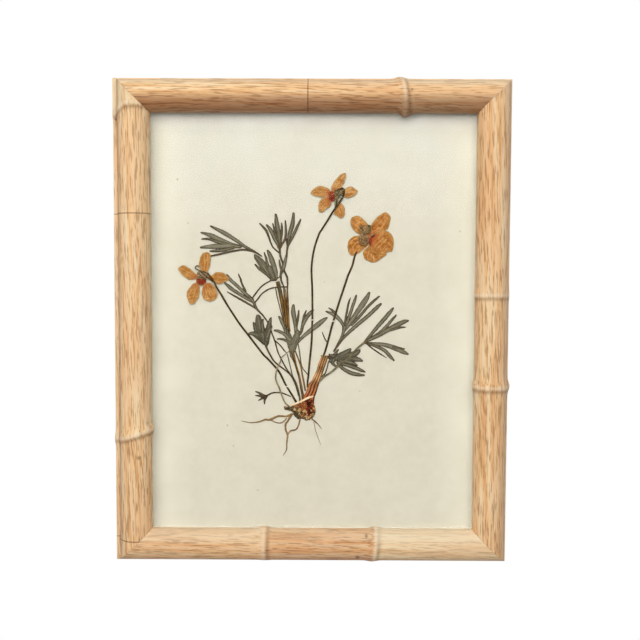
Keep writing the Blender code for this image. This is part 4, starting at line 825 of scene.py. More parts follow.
leaves["leaf_dark_left"] = (dark_leaf, [
    [(-49, 0, 0.6), (-47.4, -5, 3), (-44.6, -11, 4), (-40, -17, 4)],
    [(-53.5, -10, 0.6), (-49, -10, 3.6), (-43.6, -12.6, 6), (-39, -16.4, 5)],
    [(-45.5, 6.5, 0.6), (-44.6, 2, 5), (-43.4, -5, 6.6), (-40.4, -13, 7), (-38.2, -18, 4)],
    [(-40.6, 2.6, 0.6), (-41.6, -1, 2.4), (-41, -8, 3.4)],
    [(-34, 4, 0.6), (-35.2, 0, 3), (-36.2, -5, 4.4), (-37.6, -12, 5), (-37.8, -18, 3)],
    [(-33.2, -3.5, 0.8), (-35.4, -7, 2.6), (-37.4, -13, 3)],
    [(-38.6, -17, 2.6), (-38, -21.3, 1.6), (-34.9, -27.9, 1.4), (-31.4, -33.1, 1.3), (-27.5, -36.6, 1.2),
     (-22.7, -40.1, 1.2), (-18.3, -44.1, 1.3), (-15.5, -48.5, 1.2), (-13, -54.6, 1.1), (-11, -62, 1)]])
LEAF_THICKNESS = 0.2
for seed, (name, (material, routes)) in enumerate(leaves.items(), 1):
    broad = material == dark_leaf
    lines = [smooth(blunt(route, 1.05 if broad else 0.94), 6) for route in routes]
    x, z = sheet_grid(np.vstack(lines))
    fields = [strip_field(x, z, line) for line in lines]
    edges = np.array([edge for edge, middle in fields])
    middles = np.array([middle for edge, middle in fields])
    # Neighbouring lobes run together in a narrow web
    web = 0.3 if broad else 0.12
    edge = -web * np.log(np.exp(-np.clip(edges, -5, 5) / web).sum(0))
    edge += 0.1 * waves(x, z, 2.4, seed)
    # Each lobe lies over the ones before it in the list, and its own edge shows there
    shown = edges.argmin(0)
    for number, own in enumerate(edges):
        shown = np.where(own < -0.05, number, shown)
    own_edge = np.take_along_axis(edges, shown[None], 0)[0]
    rib = np.take_along_axis(middles, shown[None], 0)[0]
    depth = np.clip(-own_edge, 0, None)
    thin = np.clip(1.5 - (rib - own_edge), 0, 1)
    tones = np.random.default_rng(seed).uniform(-0.16, 0.16, len(lines))
    bottom = rest_height(name) + 0.05 * waves(x, z, 14, seed + 50) + 0.14 * shown / len(lines)
    body = LEAF_THICKNESS * (0.8 - 0.8 * np.exp(-depth / 0.25))
    top = bottom + body + 0.12 * np.exp(-(rib / 0.3) ** 2) * (depth > 0)
    piece = pressed("dried_" + name, x + LEAF_SHIFT[0], z + LEAF_SHIFT[1], edge, bottom, top,
                    {"rim": depth, "rib": rib, "own": tones[shown], "thin": thin}, material)
    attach(piece, "root")
    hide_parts(name)


# Petals
# Five to a flower, once yellow and now amber, dried to a thin crumpled skin with a greyish rim.
# They were spread by hand and pressed, so they lie flat round the heart.


def petal_skin(name, body, pale, deep, rim_colour):
    """A dried petal: thin, matt amber skin, with a painted highlight on its creases and painted shade in the
    dips between.
    """
    material, tree, shader = surface(name, 0.8, 0.12)
    place = add(tree, "ShaderNodeTexCoord").outputs["Object"]
    rim, fan, heart, crease = (add(tree, "ShaderNodeAttribute", attribute_name=title).outputs["Fac"]
                               for title in ("rim", "fan", "heart", "crease"))
    blotch = add(tree, "ShaderNodeTexNoise", {"Vector": place, "Scale": 230.0, "Detail": 5.0,
                                              "Roughness": 0.7})
    # Wrinkled cells about 1.6 mm across, darker where they meet
    cells = add(tree, "ShaderNodeTexVoronoi", {"Vector": place, "Scale": 620.0}, feature="SMOOTH_F1")
    # Veins fan out from the heart
    vein_wave = add(tree, "ShaderNodeMath", {0: fan, 1: 26.0}, operation="MULTIPLY")
    vein_shift = add(tree, "ShaderNodeMath", {0: blotch, 1: 9.0, 2: vein_wave}, operation="MULTIPLY_ADD")
    veins = add(tree, "ShaderNodeMath", {0: vein_shift}, operation="SINE")
    skin = coats(tree, linear(body), (
        (pale, blotch, 0.36, 0.66, 0.0, 1.0),
        (deep, cells, 0.35, 0.8, 0.0, 0.38),
        # Painted light: the creases' crests carry a painted highlight, and their foot painted shade
        (pale, crease, 0.55, 1.0, 0.0, 0.7),
        (deep, crease, 0.0, 0.4, 0.45, 0.0),
        (deep, veins, 0.5, 1.0, 0.0, 0.28),
        # Redder where the petal meets the heart, and greyer round the rim
        ("91401A", heart, 3.0, 10.0, 0.75, 0.0),
        (rim_colour, rim, 0.0, 1.5, 0.6, 0.0)))
    wrinkles = add(tree, "ShaderNodeMath", {0: cells, 1: -1.5, 2: blotch}, operation="MULTIPLY_ADD")
    dress(tree, shader, skin, wrinkles, 0.55, 0.00035)
    return material


def outline_field(x, z, outline):
    """Distance in mm from a closed outline, negative inside it."""
    off = np.full(x.shape, 1e3)
    inside = np.zeros(x.shape, bool)
    for (ax, az), (bx, bz) in zip(outline, np.roll(outline, -1, 0)):
        dx, dz = bx - ax, bz - az
        share = np.clip(((x - ax) * dx + (z - az) * dz) / max(dx * dx + dz * dz, 1e-9), 0, 1)
        off = np.minimum(off, np.hypot(x - ax - share * dx, z - az - share * dz))
        if dz:
            inside ^= ((az > z) != (bz > z)) & (x < dx * (z - az) / dz + ax)
    return np.where(inside, -off, off)


pale_petal = petal_skin("amber_petal", "9E682C", "C1945A", "7A4816", "A89060")
deep_petal = petal_skin("deep_amber_petal", "96591A", "CE985A", "683A0E", "A4844A")
HEARTS = {"petal_left": (-92.9, 34.9), "petal_middle": (16.4, 104.4), "petal_right": (46.8, 71.5)}
petals = {
    "petal_left": (pale_petal, [
        [(-89.3, 58.6), (-86.6, 58), (-85.1, 55.4), (-85.4, 48.9), (-88.2, 41.4), (-92.4, 41.2),
         (-94.6, 47.1), (-94.6, 51.1), (-92.9, 56.1)],
        [(-112.1, 45.1), (-107.4, 47.4), (-102.5, 45.1), (-98.5, 41.3), (-95.4, 39.4), (-96, 36.6),
         (-102.6, 35.6), (-106.5, 37.6), (-109.8, 40.8)],
        [(-88.4, 36.6), (-88.4, 38.6), (-84.4, 39.4), (-81.1, 41.6), (-76.8, 42), (-72.5, 40), (-69.7, 35.7),
         (-73, 34.1), (-76.3, 32.1), (-79.8, 32.1), (-82.8, 34.4)],
        [(-94, 34), (-96.4, 34.2), (-101.3, 30.7), (-104.2, 26.8), (-105.2, 22.1), (-103.2, 16.5),
         (-101, 14.5), (-98, 16.5), (-95.3, 20.8), (-94.3, 26.8), (-94.4, 30.9)],
        [(-92, 29.4), (-92.7, 24.8), (-91.4, 19.9), (-87.2, 17.6), (-82.5, 18.6), (-79.6, 21.9),
         (-80.2, 26.5), (-82.8, 30.8), (-86.1, 33.1), (-89.9, 32.9)]]),
    "petal_middle": (pale_petal, [
        [(26.4, 124.3), (21.1, 121.7), (17.1, 116.9), (15.2, 113.5), (14.6, 109.8), (15.8, 106.6),
         (19.4, 107.2), (22.6, 111), (25.1, 115.8), (26.5, 119.8)],
        [(24.7, 110.2), (30.6, 113.1), (34.3, 111.3), (36.6, 109), (34, 105.8), (29.9, 103.6), (26.1, 104.1),
         (24.2, 106.8)],
        [(-2.1, 108.3), (1.2, 111.8), (5.4, 113.4), (9.8, 112.4), (13.8, 110.2), (15.6, 106.4),
         (11.8, 104.6), (7.5, 104.1), (2.7, 104.7), (-1.1, 106.4)],
        [(4.1, 97.6), (5.3, 101), (7.7, 103.3), (13.2, 105.4), (15.4, 102.6), (14.9, 98.3), (13.2, 95.9),
         (10.4, 94.2), (7.6, 91.7), (4.7, 92.2), (4.4, 94.8)],
        [(21.2, 99.5), (23.5, 98.8), (25.5, 96.5), (26, 92.9), (25.6, 88.9), (22.7, 86.9), (19.8, 88.6),
         (17.2, 90.3), (17.5, 93.4), (19, 96.8)]]),
    "petal_right": (deep_petal, [
        [(30.7, 83.8), (31.4, 86.9), (34.2, 88.7), (38, 88.5), (42.1, 85.4), (46.8, 80.2), (49.6, 75.6),
         (47.2, 71.6), (41.8, 73.4), (36.1, 74.9), (32.4, 78.8)],
        [(46.6, 77.6), (48.8, 83.1), (52.2, 87.3), (56.7, 90.9), (60.1, 91.8), (63, 89.9), (64, 86.8),
         (62.8, 81.4), (61.2, 77.9), (54.7, 75.9), (48.4, 73.4)],
        [(37.4, 72.7), (32.4, 71.5), (29.2, 68), (28.5, 63.6), (29.6, 58.5), (32.8, 56), (36.7, 57.3),
         (39.4, 59.2), (41.7, 61.3), (45.4, 64.6), (47.2, 69.6), (43.6, 72.8)],
        [(47.4, 72), (51.7, 75.7), (56.8, 77), (61.2, 76.3), (64.7, 73.9), (66.7, 69.4), (66.7, 65.3),
         (65.2, 59.9), (61.4, 59.2), (55.8, 56.4), (49.9, 59.2), (46.4, 66.2)],
        [(47.6, 66.1), (43.9, 62.1), (41.7, 60.2), (41.5, 57), (43, 53.1), (46.2, 51.6), (49, 50.3),
         (53.5, 51.6), (57.2, 54.5), (60.8, 57.1), (56.8, 60.7), (50.8, 65.1)]]),
}
# Longer folds that show on some petals, as routes of x, z and width in mm
folds = {
    "petal_right_4": [[(55.7, 72.5, 1), (52.3, 69.4, 1), (49.3, 66.2, 0.8)],
                      [(58.2, 70.8, 1), (54.8, 67.6, 1), (51.4, 64.2, 0.8)],
                      [(60.7, 69.6, 0.9), (57.4, 66.2, 1), (54.3, 63.2, 0.8)],
                      [(63.2, 67.2, 0.8), (59.8, 63.7, 0.9), (57.3, 61.2, 0.8)],
                      [(53.7, 75, 0.8), (51.2, 72.5, 0.9), (49.3, 70.1, 0.8)],
                      [(50.9, 59.3, 1), (54.3, 58.2, 1.1), (58.3, 58.7, 1)]],
    "petal_right_5": [[(49, 59.5, 1), (50.4, 60.9, 0.9), (49.8, 62.1, 0.9), (52.4, 63.7, 0.9)],
                      [(50.9, 58.6, 1.2), (53.8, 57.9, 1.2), (57.6, 56.4, 1)],
                      [(45.9, 58.7, 0.8), (44.9, 55.2, 0.9), (45.9, 52.3, 0.8)],
                      [(50.4, 56.7, 0.8), (50.1, 53.8, 0.9), (50.9, 51.8, 0.8)]],
    "petal_right_3": [[(39.4, 69, 0.9), (35.4, 66.1, 1), (32, 62.1, 0.9)],
                      [(39.7, 65.1, 0.9), (36.4, 62.1, 1), (33.5, 58.1, 0.9)],
                      [(36.9, 71.5, 0.8), (32.9, 69, 0.9), (30.4, 66.5, 0.8)]],
    "petal_right_1": [[(44.8, 78.9, 0.8), (39.8, 82.7, 1), (34.8, 86.3, 0.8)],
                      [(40.8, 76.4, 0.8), (36.8, 79.9, 1), (32.8, 83.3, 0.8)]],
    "petal_right_2": [[(50.2, 78.4, 0.8), (54.6, 83.4, 1), (59.5, 89.3, 0.8)],
                      [(55.2, 78, 0.8), (58.6, 82.4, 1), (61.9, 87.3, 0.8)]],
    "petal_left_1": [[(-90.3, 56.7, 0.8), (-89.9, 50.2, 0.9), (-90.4, 44.8, 0.8)],
                     [(-87.7, 56.2, 0.7), (-87.4, 50.2, 0.8), (-88.4, 44.3, 0.7)]],
    "petal_left_2": [[(-109.3, 44.7, 0.8), (-103.8, 41.9, 0.9), (-99, 38.9, 0.8)],
                     [(-106.3, 39.9, 0.7), (-102.3, 38.3, 0.9), (-99, 37.3, 0.7)]],
    "petal_left_3": [[(-72.3, 36.9, 0.8), (-77.4, 37.8, 0.9), (-83.4, 37.6, 0.8)],
                     [(-76.4, 33.8, 0.7), (-80.4, 34.8, 0.8), (-84.4, 36, 0.7)]],
    "petal_left_4": [[(-100.8, 16.4, 0.8), (-99, 22.9, 0.9), (-96.8, 30.4, 0.8)],
                     [(-103.8, 22.4, 0.7), (-101, 27.2, 0.8), (-97.8, 31.4, 0.7)]],
    "petal_left_5": [[(-87, 19.1, 0.8), (-88.4, 24.4, 0.9), (-90.2, 30.4, 0.8)],
                     [(-81.9, 22, 0.7), (-85, 26.4, 0.8), (-88, 31, 0.7)]],
    "petal_middle_1": [[(25.1, 122.1, 0.7), (21.7, 117.2, 0.9), (18.2, 111.7, 0.8)],
                       [(20.7, 120, 0.6), (18.2, 116, 0.8), (16.4, 112.3, 0.7)]],
    "petal_middle_2": [[(34.6, 108.7, 0.7), (30.7, 108.2, 0.9), (25.7, 107.4, 0.8)],
                       [(31.7, 111.6, 0.6), (28.7, 110.4, 0.8), (25.7, 108.8, 0.7)]],
    "petal_middle_3": [[(0, 108.7, 0.7), (5.9, 109.3, 0.9), (12.3, 108.4, 0.8)],
                       [(2, 106.4, 0.6), (6.9, 106.4, 0.8), (11.5, 106.8, 0.7)]],
    "petal_middle_4": [[(5.6, 94, 0.7), (8.6, 98, 0.9), (12.3, 102.1, 0.8)],
                       [(10, 95.8, 0.6), (11.5, 98.6, 0.8), (13.3, 100.9, 0.7)]],
    "petal_middle_5": [[(22.5, 88.6, 0.7), (21.7, 93.1, 0.9), (20.6, 98, 0.8)],
                       [(24.6, 92.1, 0.6), (23.4, 95.1, 0.8), (21.8, 98.4, 0.7)]],
}
PETAL_THICKNESS = 0.2
for group, (flower, (material, outlines)) in enumerate(petals.items()):
    heart_x, heart_z = HEARTS[flower]
    for number, points in enumerate(outlines, 1):
        name = f"{flower}_{number}"
        seed = 100 + 10 * group + number
        outline = smooth(points, 8, closed=True)
        x, z = sheet_grid(outline, cell=0.24)
        edge = outline_field(x, z, outline) + 0.22 * waves(x, z, 3.6, seed)
        depth = np.clip(-edge, 0, None)
        fan = np.arctan2(z - heart_z, x - heart_x)
        middle_turn = math.atan2(outline[:, 1].mean() - heart_z, outline[:, 0].mean() - heart_x)
        fan = (fan - middle_turn + math.pi) % (2 * math.pi) - math.pi
        away = np.hypot(x - heart_x, z - heart_z)
        # Sharp crooked creases, the longer folds, and a rim that has curled up a little
        crumple = 0.5 * np.exp(-(waves(x, z, 6.5, seed + 3) / 0.16) ** 2)
        for fold in folds[name]:
            crumple = np.maximum(crumple, np.exp(-(strip_field(x, z, smooth(fold, 6))[1] / 0.34) ** 2))
        crumple *= 1 - np.exp(-depth / 0.6)
        lift = 0.09 * waves(x, z, 5.5, seed) + 0.26 * crumple + 0.14 * np.exp(-depth / 0.6)
        bottom = rest_height(name) + lift
        top = bottom + PETAL_THICKNESS * (0.7 - 0.7 * np.exp(-depth / 0.15))
        piece = pressed("dried_" + name, x, z, edge, bottom, top,
                        {"rim": depth, "fan": fan, "heart": away, "crease": crumple + 0.18 * waves(x, z, 4,
                                                                                                   seed + 7)},
                        material)
        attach(piece, "root")
        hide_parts(name)


# Flower stems
# Three thin dark stalks, dried round but pressed a little flat. Each passes behind the leaves,
# climbs over the petals in its way and ends in a small calyx and the flower's red-brown heart.


def dry_fibre(name, dark, light, streak, end_colour=None, end_from=0, end_to=0):
    """Dry plant fibre: matt, with streaks that follow the stalk and blotches 6 mm long.

    It turns to the end colour from one distance along the stalk, in mm, to another.
    """
    material, tree, shader = surface(name, 0.82, 0.15)
    place = add(tree, "ShaderNodeTexCoord").outputs["Object"]
    around, along = (add(tree, "ShaderNodeAttribute", attribute_name=title).outputs["Fac"]
                     for title in ("around", "along"))
    space = add(tree, "ShaderNodeCombineXYZ", {0: around, 1: along})
    streak_space = add(tree, "ShaderNodeMapping", {"Vector": space, "Scale": (9, 0.16, 1)})
    streaks = add(tree, "ShaderNodeTexNoise", {"Vector": streak_space, "Scale": 1.0, "Detail": 3.0})
    blotch = add(tree, "ShaderNodeTexNoise", {"Vector": place, "Scale": 160.0, "Detail": 3.0})
    layers = [(light, blotch, 0.35, 0.65, 0.0, 1.0), (streak, streaks, 0.5, 0.62, 0.0, 0.7)]
    if end_colour:
        layers.append((end_colour, along, end_from, end_to, 0.0, 0.85))
    dress(tree, shader, coats(tree, linear(dark), layers), streaks, 0.6, 0.0002)
    return material


# One tree for every stalk, root and thread: it sweeps strands along each route of the piece
stalk_tree = bpy.data.node_groups.new("dried_stalk", "GeometryNodeTree")
stalk_tree.interface.new_socket("Geometry", in_out="INPUT", socket_type="NodeSocketGeometry")
stalk_tree.interface.new_socket("Strands", in_out="INPUT", socket_type="NodeSocketInt")
for title in ("Spacing", "Flatness", "Strand share", "Wander", "Wander size", "Knobs", "Seed"):
    stalk_tree.interface.new_socket(title, in_out="INPUT", socket_type="NodeSocketFloat")
stalk_tree.interface.new_socket("Material", in_out="INPUT", socket_type="NodeSocketMaterial")
stalk_tree.interface.new_socket("Geometry", in_out="OUTPUT", socket_type="NodeSocketGeometry")
g = stalk_tree
given = add(g, "NodeGroupInput").outputs
width = add(g, "GeometryNodeInputNamedAttribute", {"Name": "width"}, data_type="FLOAT").outputs[0]
route = add(g, "GeometryNodeMeshToCurve", {"Mesh": given["Geometry"]})
soft = add(g, "GeometryNodeCurveSplineType", {"Curve": route}, spline_type="CATMULL_ROM")
even = add(g, "GeometryNodeResampleCurve", {"Curve": soft, "Length": given["Spacing"]}, mode="LENGTH")
copies = add(g, "GeometryNodeDuplicateElements", {"Geometry": even, "Amount": given["Strands"]},
             domain="SPLINE")
copy = copies.outputs["Duplicate Index"]
# Strands lie side by side across the stalk's width
halfway = add(g, "ShaderNodeMath", {0: copy, 1: 0.5}, operation="ADD")
side_share = add(g, "ShaderNodeMath", {0: halfway, 1: given["Strands"]}, operation="DIVIDE")
side = add(g, "ShaderNodeMath", {0: side_share, 1: 0.5}, operation="SUBTRACT")
side_width = add(g, "ShaderNodeMath", {0: side, 1: width}, operation="MULTIPLY")
heading = add(g, "GeometryNodeInputTangent")
sideways = add(g, "ShaderNodeVectorMath", {0: heading, 1: (0, 1, 0)}, operation="CROSS_PRODUCT")
sidestep = add(g, "ShaderNodeVectorMath", {0: sideways, "Scale": side_width}, operation="SCALE")
spot = add(g, "GeometryNodeInputPosition")
copy_seed = add(g, "ShaderNodeMath", {0: copy, 1: 3.7, 2: given["Seed"]}, operation="MULTIPLY_ADD")
drift = add(g, "ShaderNodeTexNoise", {"Vector": spot, "W": copy_seed, "Scale": given["Wander size"],
                                      "Detail": 2.0},
            noise_dimensions="4D")
centred = add(g, "ShaderNodeVectorMath", {0: drift.outputs["Color"], 1: (0.5, 0.5, 0.5)},
              operation="SUBTRACT")
flat_drift = add(g, "ShaderNodeVectorMath", {0: centred, 1: (1, 0.25, 1)}, operation="MULTIPLY")
wander = add(g, "ShaderNodeVectorMath", {0: flat_drift, "Scale": given["Wander"]}, operation="SCALE")
moved = add(g, "ShaderNodeVectorMath", {0: sidestep, 1: wander}, operation="ADD")
laid = add(g, "GeometryNodeSetPosition", {"Geometry": copies, "Offset": moved})
strand_width = add(g, "ShaderNodeMath", {0: width, 1: given["Strand share"]}, operation="MULTIPLY")
knobs = add(g, "ShaderNodeTexNoise", {"Vector": spot, "W": copy_seed, "Scale": 900.0, "Detail": 1.0},
            noise_dimensions="4D")
knob_share = add(g, "ShaderNodeMath", {0: knobs.outputs[0], 1: 0.5}, operation="SUBTRACT")
knob_size = add(g, "ShaderNodeMath", {0: knob_share, 1: given["Knobs"], 2: 1.0}, operation="MULTIPLY_ADD")
thick = add(g, "ShaderNodeMath", {0: strand_width, 1: knob_size}, operation="MULTIPLY")
radius = add(g, "ShaderNodeMath", {0: thick, 1: 0.5}, operation="MULTIPLY")
sized = add(g, "GeometryNodeSetCurveRadius", {"Curve": laid, "Radius": radius})
here = add(g, "GeometryNodeInputPosition")
mid = add(g, "GeometryNodeStoreNamedAttribute", {"Geometry": sized, "Name": "mid", "Value": here},
          data_type="FLOAT_VECTOR", domain="POINT")
far = add(g, "GeometryNodeSplineParameter")
far_mm = add(g, "ShaderNodeMath", {0: far.outputs["Length"], 1: 1000.0}, operation="MULTIPLY")
measured = add(g, "GeometryNodeStoreNamedAttribute", {"Geometry": mid, "Name": "along", "Value": far_mm},
               data_type="FLOAT", domain="POINT")
ring_line = add(g, "GeometryNodeCurvePrimitiveCircle", {"Resolution": 12, "Radius": 1.0})
round_share = add(g, "GeometryNodeSplineParameter")
round_turn = add(g, "ShaderNodeMath", {0: round_share.outputs["Factor"], 1: 2 * math.pi},
                 operation="MULTIPLY")
round_wave = add(g, "ShaderNodeMath", {0: round_turn}, operation="COSINE")
ring_mark = add(g, "GeometryNodeStoreNamedAttribute",
                {"Geometry": ring_line, "Name": "around", "Value": round_wave},
                data_type="FLOAT", domain="POINT")
swept = add(g, "GeometryNodeCurveToMesh", {"Curve": measured, "Profile Curve": ring_mark, "Scale": radius,
                                           "Fill Caps": True})
core = add(g, "GeometryNodeInputNamedAttribute", {"Name": "mid"}, data_type="FLOAT_VECTOR").outputs[0]
skin = add(g, "GeometryNodeInputPosition")
off_core = add(g, "ShaderNodeVectorMath", {0: skin, 1: core}, operation="SUBTRACT")
squeeze = add(g, "ShaderNodeCombineXYZ", {0: 1.0, 1: given["Flatness"], 2: 1.0})
squeezed = add(g, "ShaderNodeVectorMath", {0: off_core, 1: squeeze}, operation="MULTIPLY")
pressed_spot = add(g, "ShaderNodeVectorMath", {0: core, 1: squeezed}, operation="ADD")
flat = add(g, "GeometryNodeSetPosition", {"Geometry": swept, "Position": pressed_spot})
real = add(g, "GeometryNodeRealizeInstances", {"Geometry": flat})
painted = add(g, "GeometryNodeSetMaterial", {"Geometry": real, "Material": given["Material"]})
add(g, "NodeGroupOutput", {"Geometry": painted})


STRAND_SPACING = 0.6


def stalks(name, node, routes, material, strands=1, flatness=0.5, strand_share=1.0, wander=0.0,
           wander_size=60.0, knobs=0.25, seed=1.0, height=None):
    """A piece of one or more stalks. A route's points are x, z, width and, where it climbs, height."""
    level = rest_height(node) + 0.3 if height is None else height
    mesh = bpy.data.meshes.new(name)
    spots = []
    widths = []
    edges = []
    for points in routes:
        first = len(spots)
        for x, z, wide, *climb in points:
            spots.append(CENTRE + Vector((x, -(climb[0] if climb else level), z)) * MM)
            widths.append(wide * MM)
        edges += [(index, index + 1) for index in range(first, len(spots) - 1)]
    mesh.from_pydata(spots, edges, [])
    mesh.attributes.new("width", "FLOAT", "POINT").data.foreach_set("value", widths)
    blank = bpy.data.objects.new(name, mesh)
    bpy.context.scene.collection.objects.link(blank)
    piece = bake(blank, stalk_tree, {
        "Strands": strands, "Spacing": STRAND_SPACING * MM, "Flatness": flatness,
        "Strand share": strand_share, "Wander": wander * MM, "Wander size": wander_size,
        "Knobs": knobs, "Seed": float(seed), "Material": material})
    piece.data.shade_smooth()
    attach(piece, "root")
    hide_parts(node)
    return piece


dark_stem = dry_fibre("dark_dry_stem", "241A0A", "403014", "5E4A26")
stems = {
    "flower_stem_left": [
        [(-87.7, 41.6, 0.9, 7), (-85.1, 37.7, 1.2, 7), (-82.8, 34.7, 1.3, 7), (-80.1, 29.4, 1.3, 6.9),
         (-76.3, 23.2, 1.4, 6.3), (-70, 12.4, 1.4), (-60.8, -1.5, 1.4), (-51.2, -13.9, 1.4),
         (-41.6, -26.4, 1.4),
         (-37.6, -30.3, 1.4), (-29, -39.9, 1.4), (-25.6, -45.8, 1.4), (-22.4, -52.4, 1.3), (-18, -59.5, 1.4),
         (-14.3, -65.7, 1.6), (-13, -68.2, 1.6)],
        [(-89.4, 38.8, 0.7, 7), (-85.4, 35.7, 0.9, 7), (-82.8, 33.6, 0.9, 7)],
        [(-37.6, -30.6, 0.8), (-34.6, -33.2, 0.9), (-31.6, -36.7, 0.9), (-29.2, -39.6, 0.9)]],
    "flower_stem_middle": [
        [(18, 109.2, 1, 6.95), (21.2, 110.6, 1.1, 7), (23.9, 111.4, 1.2, 7), (25.2, 110.2, 1.3, 7),
         (25, 106.8, 1.4, 7), (24, 103.9, 1.4, 7), (22, 100.8, 1.4, 6.95), (20.1, 98, 1.4, 6.95),
         (17.8, 94.5, 1.4, 6.9), (15.5, 91.4, 1.3, 6.7), (11.6, 84.6, 1.3, 6.1), (7.2, 77.8, 1.3),
         (4.6, 73.3, 1.3),
         (0.7, 61, 1.3), (-1.3, 46.1, 1.3), (-0.7, 27.3, 1.3), (-0.4, 7.2, 1.3), (-0.8, -7.3, 1.4),
         (-1.2, -16.8, 1.4),
         (-2.2, -27.9, 1.4), (-3.1, -36.6, 1.3), (-3.6, -43.2, 1.3), (-4.3, -49.3, 1.2), (-4.6, -54.2, 1)]],
    "flower_stem_right": [
        [(36.2, 59.2, 1.1, 5.7), (34.4, 55.3, 1.3, 5.8), (32.5, 47.8, 1.4), (29.1, 39.8, 1.4),
         (27.2, 33.9, 1.4),
         (24.8, 26.5, 1.4), (21.8, 17.5, 1.4), (18.7, 7.3, 1.4), (15.8, -2.8, 1.4), (14.7, -7.2, 1.4),
         (12.5, -15.9, 1.4), (10.4, -23.4, 1.4), (8.7, -27.8, 1.3), (7.5, -31, 1.2)],
        [(7.7, -7.6, 0.6), (10.3, -13.7, 0.8), (12.2, -16.2, 0.9)]],
}
for seed, (node, routes) in enumerate(stems.items(), 3):
    # Pressed a little flat, so a fifth wider than they grew
    routes = [[(point[0], point[1], point[2] * 1.2, *point[3:]) for point in route] for route in routes]
    stalks("dried_" + node, node, routes, dark_stem, flatness=0.5, wander=0.3, seed=seed)

# Each calyx has dried to crossing olive strands round a few wrinkled lumps, and the heart is red
olive_strand = dry_fibre("olive_calyx_strand", "342C18", "66583A", "20190C")
calyx_strands = {
    "flower_stem_left": [
        [(-94.7, 46.4, 0.9, 7.1), (-96.1, 47.2, 1.1, 7.1), (-97.6, 46.4, 1.1, 7.1), (-97.6, 44.8, 1.1, 7.1),
         (-96, 43.9, 1.1, 7.1), (-93.6, 42.7, 1, 7.2), (-91.4, 40.7, 1, 7.3), (-89, 38.5, 1, 7.2)],
        [(-96.4, 41.5, 0.8, 7.1), (-93, 38.9, 0.9, 7.3), (-89.6, 36.6, 0.9, 7.2)],
        [(-94.8, 38.3, 0.7, 7.1), (-91.8, 36.9, 0.8, 7.3), (-88.4, 35.6, 0.8, 7.1)],
        [(-91.8, 42.5, 0.8, 7.1), (-89.4, 41.7, 0.9, 7.2), (-87.6, 40.7, 0.9, 7.1)]],
    "flower_stem_middle": [
        [(17.2, 108.2, 0.7, 6.95), (19.4, 106.2, 0.7, 7.05), (21.4, 104.1, 0.7, 7.05),
         (23.4, 103.3, 0.7, 7)],
        [(17.4, 105.3, 0.7, 7), (18.8, 102.3, 0.8, 7.05), (19.1, 99.4, 0.8, 7), (17.8, 95.6, 0.7, 6.9)],
        [(20.4, 109.6, 0.7, 7), (21.2, 107, 0.7, 7.1), (23.6, 105.5, 0.7, 7)]],
    "flower_stem_right": [
        [(38.2, 80, 0.7, 6.9), (41.2, 77.2, 0.8, 7.2), (44, 74.1, 0.8, 7)],
        [(37.7, 71.1, 0.6, 6.9), (41.4, 68.9, 0.6, 7.2), (45.4, 66, 0.7, 6.9)],
        [(45.1, 81.6, 0.7, 6.9), (46.5, 78, 0.8, 7.1), (46.4, 73.7, 0.8, 7)]],
}
for seed, (node, routes) in enumerate(calyx_strands.items(), 41):
    stalks(node.replace("stem", "calyx_strands"), node, routes, olive_strand, flatness=0.5,
           wander=0.5, wander_size=200, knobs=0.6, seed=seed)


def oval(x, z, wide, tall, turn=0):
    """Points round an oval: its middle, its width and height in mm and its turn in degrees."""
    found = []
    for step in range(12):
        angle = math.radians(step * 30)
        across, up = wide / 2 * math.cos(angle), tall / 2 * math.sin(angle)
        lean = math.radians(turn)
        found.append((x + across * math.cos(lean) - up * math.sin(lean),
                      z + across * math.sin(lean) + up * math.cos(lean)))
    return found


def lump(name, node, skin, points, base, rise, seed):
    """A small wrinkled lump, pressed nearly flat: a crowned closed form on an outline, in mm."""
    outline = smooth(points, 5, closed=True)
    size = np.ptp(outline, axis=0).min()
    x, z = sheet_grid(outline, cell=0.14 if size < 3 else 0.2)
    edge = outline_field(x, z, outline) + 0.06 * min(size, 5) * waves(x, z, 2.2, seed)
    depth = np.clip(-edge, 0, None)
    crumple = np.exp(-(waves(x, z, 3, seed + 3) / 0.2) ** 2) * (1 - np.exp(-depth / 0.5))
    top = base + rise * (1 - np.exp(-depth / (0.12 * size + 0.15))) + 0.14 * crumple - 0.05
    middle_x, middle_z = outline.mean(0)
    values = {"rim": depth + 0.5, "fan": np.arctan2(z - middle_z, x - middle_x),
              "heart": 12 + np.hypot(x - middle_x, z - middle_z),
              "crease": crumple + 0.15 * waves(x, z, 2, seed + 7)}
    piece = pressed(name, x, z, edge, np.full(x.shape, base), np.maximum(top, base + 0.02), values, skin)
    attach(piece, "root")
    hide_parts(node)


